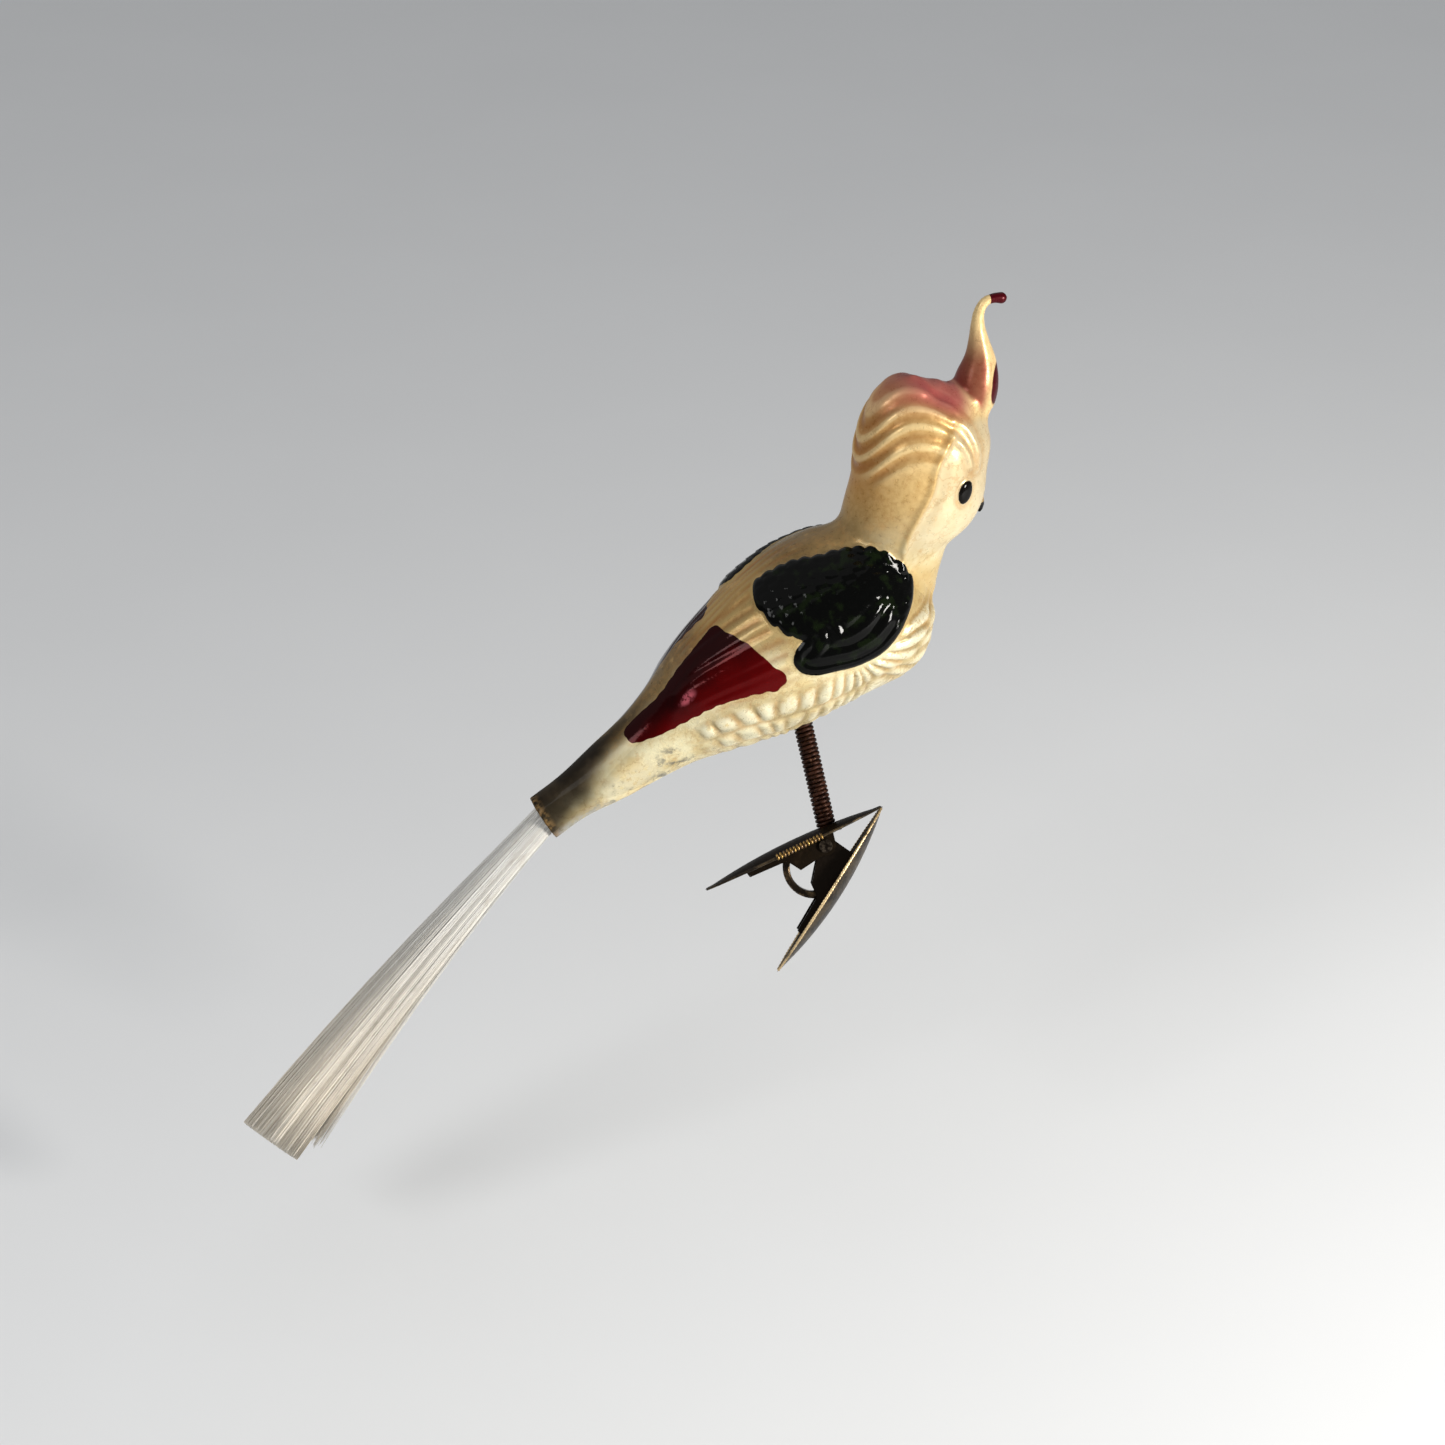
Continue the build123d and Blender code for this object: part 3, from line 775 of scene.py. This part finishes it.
def coil_piece(name, start_turn, end_turn):
    """A stretch of the leg's close-wound wire."""
    sides, per_turn = 10, 30
    turns = np.linspace(start_turn, end_turn, int((end_turn - start_turn) * per_turn) + 1)
    angle = turns * 2 * math.pi
    x_dir = SIDE_NORMAL
    y_dir = np.cross(LEG_UP, x_dir)
    rng = np.random.default_rng(3)
    uneven = np.interp(turns, np.arange(0, COIL_TURNS + 2), rng.normal(0, 0.012, COIL_TURNS + 2))
    height = turns * COIL_PITCH + WIRE / 2 + uneven
    radial = np.cos(angle)[:, None] * x_dir + np.sin(angle)[:, None] * y_dir
    line = LEG_START + LEG_UP * height[:, None] + COIL_RADIUS * radial
    tangent = np.gradient(line, axis=0)
    thick = WIRE_DRAWN * WIRE / 2
    rings = []
    for p, t, r in zip(line, tangent, radial):
        rings.append(oval(p, r, np.cross(unit(t), r), thick, thick, sides))
    points, faces = closed_tube(rings)
    obj = mesh_piece(name, points, faces, [rusty_wire()])
    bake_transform(obj)
    return obj


def leg_coil():
    """The two halves of the coil."""
    half = COIL_TURNS / 2
    lower = coil_piece("leg_wire_lower", 0, half)
    upper = coil_piece("leg_wire_upper", half, COIL_TURNS)
    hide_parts("leg_coil_lower", "leg_coil_middle")
    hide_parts("leg_coil_upper")


# ------------------------ the clip


def spring_strip():
    """The C-shaped strip between the jaws, with rounded edges."""
    middle_angle = (UPPER_JAW_ANGLE + LOWER_JAW_ANGLE) / 2
    half_angle = math.radians(LOWER_JAW_ANGLE - UPPER_JAW_ANGLE) / 2
    beyond = -STRIP_INSET / math.sin(half_angle)
    out = STRIP_BEND / math.sin(half_angle) - beyond
    sweep = math.pi + 2 * half_angle
    first = math.radians(middle_angle) - sweep / 2
    middle = out * np.array([math.cos(math.radians(middle_angle)), math.sin(math.radians(middle_angle))])
    a = np.linspace(first, first + sweep, 48)
    bend = middle + STRIP_BEND * np.column_stack([np.cos(a), np.sin(a)])
    step = np.linspace(STRIP_ARM, 0.1, 8)[:, None]
    upper = bend[0] + step * np.array([math.sin(a[0]), -math.cos(a[0])])
    lower = bend[-1] + step[::-1] * np.array([-math.sin(a[-1]), math.cos(a[-1])])
    flat = np.vstack([upper, bend, lower])
    tangent = np.gradient(flat, axis=0)
    section = []
    corner = 0.22
    for quarter, (sx, sy) in enumerate(((1, 1), (-1, 1), (-1, -1), (1, -1))):
        for t in np.linspace(0, math.pi / 2, 4):
            turn = quarter * math.pi / 2 + t
            section.append((sx * (STRIP_WIDTH / 2 - corner) + corner * math.cos(turn),
                            sy * (STRIP / 2 - corner) + corner * math.sin(turn)))
    rings = []
    for i, ((x, y), t) in enumerate(zip(flat, tangent)):
        n = unit(t)
        across = in_side_plane(-n[1], n[0])
        end = min(i, len(flat) - 1 - i) / 6
        waist = 0.80 + 0.20 * min(1.0, end)
        centre = in_side_plane(x, y)
        rings.append([centre + SIDE_NORMAL * (w * waist) + across * (d * STRIP_DRAWN) for w, d in section])
    points, faces = closed_tube(rings)
    obj = mesh_piece("spring_strip", points, faces, [plain("strip_steel")])
    end = in_side_plane(*lower[-3])
    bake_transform(obj)
    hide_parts("clip_spring")


def jaw_edges(angle, depth, inward):
    """A jaw's own axes, and the line of its rim's half width along it."""
    along = side_direction(angle)
    inner = SIDE_NORMAL * inward
    across_radius = (depth**2 + JAW_HALF_WIDTH**2) / (2 * depth)
    half = JAW_LENGTH / 2
    bend = (depth**2 + half**2) / (2 * depth)
    x = np.linspace(-half * 0.985, half * 0.985, 300)
    # the rim lies in the jaw's flat plane, where the barrel's own radius cuts it
    local_radius = across_radius - depth + (np.sqrt(bend**2 - x**2) - (bend - depth))
    width = np.sqrt(np.maximum(local_radius**2 - (across_radius - depth) ** 2, 0.0))
    return along, inner, np.cross(inner, along), TIP_GAP + half + x, width


def jaw_rim(name, body, angle, depth, inward, nick, lighting):
    """The rolled rim of a jaw along both edges, with fine nicks this deep."""
    along, inner, up, x, width = jaw_edges(angle, depth, inward)
    parts = []
    for sign in (-1, 1):
        thick = 0.15 + 0.08 * np.sin(math.pi * (x - x[0]) / (x[-1] - x[0]))
        thick = thick + nick * np.sign(np.sin(2 * math.pi * x / 0.5))
        line = [along * xi + inner * sign * (w - 0.06) + up * 0.02 for xi, w in zip(x, width)]
        parts.append(closed_tube([oval(p, inner, up, 0.15, t, 8) for p, t in zip(line, thick)]))
    points, faces = joined(parts)
    obj = mesh_piece(name, points, faces, [worn_and_shaded_tin(lighting)])
    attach(obj, body)


def knurled_band():
    """A row of beads pressed into the upper jaw's edges above its ears."""
    along, inner, up, x, width = jaw_edges(UPPER_JAW_ANGLE, UPPER_JAW_DEPTH, 1)
    parts = []
    for sign in (-1, 1):
        for place in np.arange(*KNURL_SPAN, KNURL_PITCH):
            w = np.interp(place, x, width)
            centre = along * place + inner * sign * (w + 0.02) - up * 0.05
            turns = np.linspace(0.15, math.pi - 0.15, 7)
            parts.append(closed_tube([oval(centre - inner * sign * 0.22 * math.cos(t), along, up,
                                           0.26 * math.sin(t), 0.55 * math.sin(t), 10) for t in turns]))
    points, faces = joined(parts)
    obj = mesh_piece("upper_jaw_beads", points, faces, [plain("brassy_tin")])
    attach(obj, "clip")


# ------------------------ materials


class Shader:
    """One material's nodes, joined with short calls."""

    def __init__(self, name, **constants):
        self.material = bpy.data.materials.new(name)
        self.material.use_nodes = True
        self.tree = self.material.node_tree
        self.surface = next(n for n in self.tree.nodes if n.type == "BSDF_PRINCIPLED")
        self.coordinates = self.tree.nodes.new("ShaderNodeTexCoord").outputs["Object"]
        for key, value in constants.items():
            self.surface.inputs[key.replace("_", " ").title().replace("Ior", "IOR")].default_value = value

    def put(self, socket, value):
        """Sets a socket to a number or colour, or joins an output to it."""
        if isinstance(value, bpy.types.NodeSocket):
            self.tree.links.new(value, socket)
        elif isinstance(value, tuple) and len(value) == 3 and socket.type == "RGBA":
            socket.default_value = (*value, 1.0)
        else:
            socket.default_value = value

    def set(self, name, value):
        self.put(self.surface.inputs[name], value)

    def attribute(self, name):
        node = self.tree.nodes.new("ShaderNodeAttribute")
        node.attribute_name = name
        return node.outputs["Fac"]

    def math(self, kind, a, b=0.0, c=0.0):
        node = self.tree.nodes.new("ShaderNodeMath")
        node.operation = kind
        for socket, value in zip(node.inputs, (a, b, c)):
            self.put(socket, value)
        return node.outputs[0]

    def times(self, product, *others):
        """The product of these numbers."""
        for value in others:
            product = self.math("MULTIPLY", product, value)
        return product

    def step(self, value, low, high, to=(0.0, 1.0)):
        """A smooth step of value from low to high."""
        node = self.tree.nodes.new("ShaderNodeMapRange")
        node.interpolation_type = "SMOOTHSTEP"
        settings = {"Value": value, "From Min": low, "From Max": high, "To Min": to[0], "To Max": to[1]}
        for key, v in settings.items():
            self.put(node.inputs[key], v)
        return node.outputs[0]

    def stretched(self, scale):
        """The coordinates in millimetres, with each axis at its own scale."""
        node = self.tree.nodes.new("ShaderNodeMapping")
        self.put(node.inputs["Vector"], self.coordinates)
        node.inputs["Scale"].default_value = tuple(1000.0 * k for k in scale)
        return node.outputs[0]

    def noise(self, size, detail=4.0, rough=0.55, scale=(1, 1, 1)):
        """Noise whose features are about this many millimetres across."""
        node = self.tree.nodes.new("ShaderNodeTexNoise")
        self.put(node.inputs["Vector"], self.stretched(scale))
        node.inputs["Scale"].default_value = 1.0 / size
        node.inputs["Detail"].default_value = detail
        node.inputs["Roughness"].default_value = rough
        return node.outputs["Fac"]

    def mix(self, share, a, b):
        """Colour a, turning into b."""
        node = self.tree.nodes.new("ShaderNodeMix")
        node.data_type = "RGBA"
        colours = [s for s in node.inputs if s.type == "RGBA"]
        self.put(node.inputs[0], share)
        self.put(colours[0], a)
        self.put(colours[1], b)
        return next(s for s in node.outputs if s.type == "RGBA")

    def paint(self, colour, *shares):
        """Lays a colour over the ones before it, at the product of these shares."""
        self.colour = self.mix(self.times(*shares), self.colour, colour) if shares else colour
        self.set("Base Color", self.colour)

    def blend(self, share, a, b):
        """Number a, turning into b."""
        node = self.tree.nodes.new("ShaderNodeMix")
        self.put(node.inputs[0], share)
        self.put(node.inputs[2], a)
        self.put(node.inputs[3], b)
        return node.outputs[0]

    def facing(self, direction):
        """How squarely the surface faces this direction of the piece's own axes."""
        node = self.tree.nodes.new("ShaderNodeVectorMath")
        node.operation = "DOT_PRODUCT"
        self.put(node.inputs[0], self.coordinates.node.outputs["Normal"])
        node.inputs[1].default_value = tuple(float(c) for c in direction)
        return node.outputs["Value"]

    def bump(self, height, depth, strength=1.0):
        """Fine relief of this many millimetres, on top of any set before."""
        node = self.tree.nodes.new("ShaderNodeBump")
        node.inputs["Strength"].default_value = strength
        node.inputs["Distance"].default_value = depth * MM
        self.put(node.inputs["Height"], height)
        previous = self.surface.inputs["Normal"]
        if previous.is_linked:
            self.put(node.inputs["Normal"], previous.links[0].from_socket)
        self.put(previous, node.outputs[0])


@cache
def lacquered_glass():
    """Silvered glass under cream lacquer, painted black, red and rose, with brown age in its hollows, and
    painted shade and highlights in its colour.
    """
    m = Shader("lacquered_glass", coat_weight=0.05, coat_roughness=0.04, specular_ior_level=0.08)
    mark = m.attribute
    groove, station, level = mark("groove"), mark("station"), mark("level")
    up_share, height, forward = mark("up_share"), mark("height"), mark("forward")
    patches, fine, specks = m.noise(5.5, 5, 0.6), m.noise(0.9, 5, 0.65), m.noise(0.35, 3, 0.6)

    # cream over silver, darker and browner above, part stain and part painted shade on the top away from the
    # light, with age in the grooves
    m.paint(m.mix(m.step(patches, 0.38, 0.66), (0.67, 0.54, 0.28), (0.80, 0.74, 0.49)))
    upper = m.mix(m.step(fine, 0.35, 0.7), (0.088, 0.042, 0.007), (0.155, 0.080, 0.017))
    m.paint(upper, m.step(up_share, 0.15, 0.95), 0.90)
    on_hood = m.times(m.step(height, 38, 50), m.math("SUBTRACT", 1.0, mark("face")))
    m.paint((0.42, 0.29, 0.11), m.step(height, 40, 35), m.step(height, 27, 31), 0.8)  # the neck
    m.paint((0.60, 0.52, 0.35), mark("face"), 0.7)
    m.paint(m.mix(m.step(fine, 0.3, 0.7), (0.46, 0.29, 0.105), (0.57, 0.39, 0.165)), on_hood, 0.94)
    # painted shade on the hood's back, away from the key light, over its browner tone
    m.paint((0.36, 0.140, 0.020), m.step(forward, 3.0, -3.5), m.step(height, 43, 52), 0.85)
    # painted highlight: lighter cream along the tops of the hood's bands
    crest = m.times(on_hood, m.step(groove, 0.35, 0.05), m.step(level, 51, 56), m.step(height, 49, 53))
    m.paint((0.76, 0.59, 0.31), crest, 0.55)
    rust = m.mix(m.step(forward, 1.0, 9.0), (0.25, 0.082, 0.014), (0.33, 0.18, 0.058))
    m.paint(rust, groove, m.step(patches, 0.25, 0.62, (0.6, 1.0)), 0.85)
    # painted shade between the ribs and on their side away from the light
    rib_shade_colour = m.mix(m.step(patches, 0.42, 0.62), (0.26, 0.195, 0.095), (0.42, 0.22, 0.06))
    m.paint(rib_shade_colour, mark("painted_rib_shade"), 0.80)
    m.paint((0.48, 0.30, 0.12), m.step(m.noise(2.4, 4, 0.7), 0.56, 0.72), 0.5)  # blotches
    off_middle = m.math("ABSOLUTE", m.math("SUBTRACT", m.noise(3.2, 4, 0.6), 0.5))
    m.paint((0.34, 0.18, 0.06), m.step(off_middle, 0.030, 0.004), m.step(patches, 0.66, 0.42, (0.0, 0.34)))
    # painted highlight: paler cream on the tops of the ribs
    lump_highlight = m.times(m.step(mark("lump"), 0.25, 0.85), m.step(fine, 0.30, 0.55))
    m.paint((0.92, 0.88, 0.66), lump_highlight, 0.65)
    m.paint((0.16, 0.09, 0.04), m.step(specks, 0.77, 0.81), 0.05)

    # rose lacquer on the hood's top and the horn, red at the horn's front and bead
    rose = m.times(m.step(level, 60.0, 63.8), m.step(height, 57.5, 61.5))
    cheek = m.times(m.step(forward, -1.0, 8.0, (0.25, 1.0)), m.step(forward, 15.5, 12.5))
    m.paint((0.29, 0.046, 0.060), rose, cheek, 0.86)
    behind_front = m.step(mark("horn_front"), -0.05, 0.6, (1.0, 0.04))
    m.paint((0.145, 0.013, 0.012), mark("horn"), behind_front, m.step(height, 73.0, 65.0), 0.88)
    m.paint((0.050, 0.0005, 0.003), m.step(mark("horn_red"), 0.45, 0.6))

    # the bare tarnished tube
    drift = m.times(m.math("SUBTRACT", m.noise(6.0, 2, 0.4), 0.5), 9.0)
    tarnish_edge = m.math("SUBTRACT", m.math("SUBTRACT", station, drift), m.times(up_share, 10.0))
    tarnish = m.step(tarnish_edge, 15.0, 2.0)
    tube = m.mix(m.step(m.noise(4.5, 3, 0.5), 0.46, 0.66), (0.008, 0.0055, 0.0032), (0.032, 0.023, 0.014))
    m.paint(tube, tarnish, 0.97)
    low = m.step(up_share, 0.30, -0.05)
    silver = m.times(m.step(station, 34, 22), m.step(m.noise(2.2, 5, 0.7), 0.50, 0.64), low)
    m.paint((0.30, 0.275, 0.20), silver, m.step(tarnish, 1.0, 0.0))
    glint = m.times(m.step(station, 21, 17), m.step(station, 8, 11), low, m.step(up_share, -0.42, -0.2))
    m.paint((0.66, 0.60, 0.41), glint, m.step(fine, 0.36, 0.5), 0.8)
    # painted highlight: a bluish-grey sheen on the tube's lower side near its mouth
    blue = m.times(m.step(up_share, -0.10, -0.45), m.step(station, 12, 6), m.step(fine, 0.3, 0.6))
    m.paint((0.35, 0.36, 0.36), blue, 0.75)
    m.paint((0.26, 0.155, 0.06), m.step(station, 1.6, 0.2), m.step(fine, 0.40, 0.60), 0.7)

    # painted areas with crisp edges
    wobble = m.times(m.math("SUBTRACT", m.noise(0.8, 2), 0.5), 0.22)
    wing = m.step(m.math("ADD", mark("wing"), wobble), -0.03, 0.05)
    patch = m.step(m.math("ADD", mark("tail_patch"), wobble), -0.03, 0.05)
    eye, beak = m.step(mark("eye"), -0.02, 0.06), m.step(mark("beak"), -0.02, 0.06)
    green = m.mix(m.step(m.noise(2.2, 3), 0.52, 0.68), (0.0008, 0.0010, 0.0009), (0.0035, 0.0065, 0.0018))
    m.paint(green, wing)
    # the red darker towards the top and brighter below: painted shade and light on the lacquer, broken by
    # random tone
    red_light = m.math("ADD", up_share, m.times(m.noise(4.0, 2), 0.35))
    red = m.mix(m.step(red_light, 0.85, 0.36), (0.016, 0.0001, 0.0004), (0.105, 0.0003, 0.0008))
    # a painted pink highlight on the tail patch, broken up at its edges
    patch_highlight = m.times(m.step(mark("patch_highlight"), 0.0, 0.7), m.step(fine, 0.40, 0.56), 0.8)
    m.paint(m.mix(patch_highlight, red, (0.62, 0.13, 0.17)), patch)
    black = m.math("MAXIMUM", eye, beak)
    m.paint((0.003, 0.0025, 0.002), black)

    painted_black = m.math("MAXIMUM", wing, black)
    metallic = m.blend(m.times(silver, 0.5), m.blend(tarnish, 0.25, 0.30), 0.8)
    metallic = m.blend(patch, m.blend(lump_highlight, metallic, 0.5), 0.38)
    m.set("Metallic", m.blend(painted_black, metallic, 0.0))
    rough = m.blend(m.step(fine, 0.3, 0.7), 0.26, 0.40)
    rough = m.blend(tarnish, rough, 0.62)
    rough = m.blend(patch, rough, 0.11)
    m.set("Roughness", m.blend(painted_black, rough, 0.09))

    m.bump(m.noise(1.6, 3, 0.5), 0.10, 0.5)
    m.bump(m.noise(0.45, 3, 0.6), 0.02, 0.5)
    return m.material


@cache
def spun_glass():
    """White silky glass fibre, a little duller from strand to strand, with painted shade in dark strands and
    streaks along it.
    """
    m = Shader("spun_glass", roughness=0.34, ior=1.5)
    strand = m.attribute("strand")
    m.paint(m.mix(m.step(strand, 0.1, 0.9), (0.68, 0.66, 0.61), (0.84, 0.84, 0.82)))
    cream = m.mix(strand, (0.80, 0.70, 0.55), (0.93, 0.87, 0.76))
    m.paint(cream, m.step(m.attribute("along"), 0.15, 1.0), 0.75)
    # painted shade between the fibres: a few darker strands, and dark streaks along their length
    m.paint((0.30, 0.24, 0.19), m.step(strand, 0.95, 0.97), 0.6)
    streak = m.noise(0.16, 2, 0.5, (0.05, 1, 0.05))
    m.paint((0.44, 0.39, 0.33), m.step(streak, 0.55, 0.72, (0.0, 0.45)))
    return m.material


@cache
def rusty_wire():
    """Spring steel with brown rust between its turns, and small painted highlights."""
    m = Shader("rusty_wire", coat_weight=0.05, coat_roughness=0.3, specular_ior_level=0.2)
    rust = m.noise(0.8, 5, 0.65)
    m.paint(m.mix(m.step(rust, 0.35, 0.65), (0.011, 0.0034, 0.0016), (0.036, 0.0105, 0.0042)))
    # painted highlights: small lighter flecks on the wire
    m.paint((0.15, 0.075, 0.035), m.step(m.noise(0.25, 3), 0.62, 0.74))
    m.set("Metallic", m.step(rust, 0.3, 0.7, (0.75, 0.35)))
    m.set("Roughness", m.step(rust, 0.3, 0.7, (0.34, 0.62)))
    m.bump(m.noise(0.18, 4, 0.7), 0.02, 0.7)
    return m.material


# lit and shaded copies of one tin, painted light and shade: dark for the upper jaw in shade, brown and bright
# for the more lit jaw and rims
TIN_LIGHTING = {  # the clean metal, how widely it shows, how metallic it is and how much its patina shines
    "dark": ((0.018, 0.012, 0.007), 0.50, 0.70, 0.06, 0.01),
    "brown": ((0.060, 0.043, 0.024), 0.38, 0.62, 0.70, 0.15),
    "bright": ((0.60, 0.45, 0.25), 0.28, 0.52, 0.88, 0.15),
}


@cache
def worn_and_shaded_tin(lighting, outward=None):
    """Tin plate gone brown, worn bright on its high places, in lit and shaded copies, with painted shade,
    nearly black, where it faces inward.
    """
    metal, low, high, metallic, shine = TIN_LIGHTING[lighting]
    m = Shader("worn_and_shaded_tin_" + lighting, coat_weight=0.2 * shine, coat_roughness=0.25, specular_ior_level=shine)
    patina, fine = m.noise(2.6, 5, 0.65), m.noise(0.3, 4, 0.6)
    m.paint(m.mix(m.step(patina, 0.35, 0.65), (0.010, 0.007, 0.0045), tuple(0.4 * c for c in metal)))
    m.paint(metal, m.step(patina, low, high))
    m.paint((0.03, 0.02, 0.012), m.step(fine, 0.62, 0.75, (0.0, 0.5)))
    if outward is not None:
        # painted shade: nearly black on the faces turned inward, away from the light
        m.paint((0.012, 0.008, 0.005), m.step(m.facing(outward), 0.6, 0.3))
    m.set("Metallic", metallic)
    m.set("Roughness", m.step(fine, 0.3, 0.7, (0.30, 0.50)))
    m.bump(m.noise(0.5, 4, 0.6), 0.03, 0.6)
    return m.material


# each is two colours mixed by one noise: grain is the noise's size, detail and roughness, span is
# where it turns from one colour to the other, and bump is the depth and strength of fine relief
PLAIN_LOOKS = {
    # tin plate with its gold lacquer left on the beads
    "brassy_tin": dict(
        grain=(0.7, 4, 0.6), span=(0.38, 0.62), colours=((0.09, 0.05, 0.018), (0.24, 0.145, 0.035)),
        metallic=0.9, rough=(0.42, 0.28), coat_weight=0.3, coat_roughness=0.15),
    # spring strip, dark bronze brown with bright wear
    "strip_steel": dict(
        grain=(1.4, 5, 0.6), span=(0.45, 0.66), colours=((0.022, 0.014, 0.008), (0.19, 0.125, 0.06)),
        metallic=0.9, rough=(0.40, 0.27), bump=(0.02, 0.5), bump_grain=(0.3, 3, 0.6),
        coat_weight=0.2, coat_roughness=0.2),
    # the bright ends of the hinge pin
    "pin_steel": dict(
        grain=(0.5, 4, 0.6), span=(0.4, 0.65), colours=((0.018, 0.012, 0.008), (0.09, 0.07, 0.05)),
        metallic=0.92, rough=(0.25, 0.42)),
    # dull grey solder with a lumpy skin
    "soft_solder": dict(
        grain=(0.9, 3, 0.5), colours=((0.16, 0.14, 0.12), (0.40, 0.37, 0.33)),
        metallic=0.85, rough=(0.38, 0.6), bump=(0.12, 0.8)),
    # old plaster, off-white and crumbly
    "chalky_plaster": dict(
        grain=(0.35, 6, 0.7), span=(0.35, 0.7), colours=((0.36, 0.30, 0.22), (0.68, 0.63, 0.54)),
        bump=(0.10, 0.9), roughness=0.92),
    # amber hide glue
    "old_glue": dict(
        grain=(1.2, 3, 0.5), colours=((0.16, 0.08, 0.03), (0.38, 0.24, 0.11)),
        bump=(0.10, 0.6), roughness=0.3, coat_weight=0.4, coat_roughness=0.15),
    "pale_floor": dict(grain=(60, 3), colours=((0.70, 0.71, 0.72), (0.73, 0.74, 0.75)), roughness=0.85),
}


def plain(name):
    """The material of this row of PLAIN_LOOKS."""
    look = dict(PLAIN_LOOKS[name])
    grain, colours, span = look.pop("grain"), look.pop("colours"), look.pop("span", None)
    metallic, rough = look.pop("metallic", 0.0), look.pop("rough", None)
    bump, bump_grain = look.pop("bump", None), look.pop("bump_grain", None)
    m = Shader(name, **look)
    noise = m.noise(*grain)
    m.paint(m.mix(m.step(noise, *span) if span else noise, *colours))
    m.set("Metallic", metallic)
    if rough:
        m.set("Roughness", m.step(noise, 0.3, 0.7, rough))
    if bump:
        m.bump(m.noise(*bump_grain) if bump_grain else noise, *bump)
    return m.material


def dress(node, material):
    """Gives a carried-over CAD node its material."""
    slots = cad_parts[node].data.materials
    if len(slots) == 0:
        slots.append(material)
    for i in range(len(slots)):
        slots[i] = material


# ------------------------ camera, floor and light

VIEW_DISTANCE = 450.0
VIEW_WIDTH = 216.75  # what the picture's width takes in at that distance
VIEW_RIGHT = -24.08  # the picture's middle, from the grip point
VIEW_UP = 12.45
FLOOR_DROP = 22.0  # room below the tail for it to swing down
FLOOR_HALF = 4000.0
LIT_POINT = (-15.0, 5.0, 20.0)  # about the ornament's middle


def add_camera():
    """Looks square onto the clip's side plane, as the ornament is usually shown."""
    data = bpy.data.cameras.new("camera")
    data.sensor_width = 36.0
    data.lens = data.sensor_width * VIEW_DISTANCE / VIEW_WIDTH
    data.clip_start, data.clip_end = 0.01, 20.0
    camera = bpy.data.objects.new("camera", data)
    camera.location = Vector(in_side_plane(VIEW_RIGHT, VIEW_UP, VIEW_DISTANCE) * MM)
    camera.rotation_mode = "QUATERNION"
    camera.rotation_quaternion = Vector(-SIDE_NORMAL).to_track_quat("-Z", "Y")
    bpy.context.scene.collection.objects.link(camera)
    bpy.context.scene.camera = camera


def add_stage():
    """A plain pale level floor below the lowest swing of the tail."""
    low = cad_box[0].z / MM - FLOOR_DROP
    points = [(x * FLOOR_HALF, y * FLOOR_HALF, low) for x, y in ((-1, -1), (1, -1), (1, 1), (-1, 1))]
    floor = mesh_piece("floor", points, [(0, 1, 2, 3)], [plain("pale_floor")])


def add_light(name, direction, distance, size, power, colour=(1, 1, 1)):
    """A soft light that faces the bird from this direction: right, up and towards the camera."""
    data = bpy.data.lights.new(name, "AREA")
    data.shape = "RECTANGLE"
    data.size, data.size_y = size[0] * MM, size[1] * MM
    data.energy = power
    data.color = colour
    light = bpy.data.objects.new(name, data)
    towards = unit(in_side_plane(*direction))
    light.location = Vector((LIT_POINT + towards * distance) * MM)
    light.rotation_mode = "QUATERNION"
    light.rotation_quaternion = Vector(-towards).to_track_quat("-Z", "Y")
    bpy.context.scene.collection.objects.link(light)


def add_lights():
    """A small bright key from the right, a wide fill, a very soft overhead and an even surround."""
    add_light("key", (0.85, -0.10, 0.62), 520, (95, 150), 4.2, (1.0, 0.97, 0.92))
    add_light("fill", (-0.60, 0.20, 0.8), 640, (220, 220), 1.15)
    overhead = bpy.data.lights.new("overhead", "SUN")
    overhead.energy = 0.85
    overhead.angle = math.radians(110)
    sun = bpy.data.objects.new("overhead", overhead)
    sun.rotation_euler = (math.radians(-25), math.radians(-20), 0)
    bpy.context.scene.collection.objects.link(sun)
    world = bpy.data.worlds.new("soft_surround")
    world.use_nodes = True
    world.node_tree.nodes["Background"].inputs["Color"].default_value = (0.80, 0.82, 0.85, 1)
    world.node_tree.nodes["Background"].inputs["Strength"].default_value = 0.24
    bpy.context.scene.world = world
    bpy.context.scene.view_settings.view_transform = "Standard"


# ------------------------ build

add_camera()
glass_bird()
tail_heart()
tail_fibres()
leg_coil()
spring_strip()
jaw_rim("upper_jaw_rim", "clip", UPPER_JAW_ANGLE, UPPER_JAW_DEPTH, 1, 0.0, "brown")
jaw_rim("lower_jaw_rim", "lower_jaw", LOWER_JAW_ANGLE, LOWER_JAW_DEPTH, -1, 0.03, "bright")
knurled_band()
# the upper jaw takes the tin's shaded copy and the lower jaw a lighter one, with painted shade where it faces
# inward
dress("clip_upper_jaw", worn_and_shaded_tin("dark"))
dress("clip_lower_jaw", worn_and_shaded_tin("brown", tuple(side_direction(LOWER_JAW_ANGLE + 90))))
dress("clip_pivot_pin", plain("pin_steel"))
dress("leg_solder", plain("soft_solder"))
dress("leg_plaster", plain("chalky_plaster"))
dress("tail_glue", plain("old_glue"))
add_stage()
add_lights()
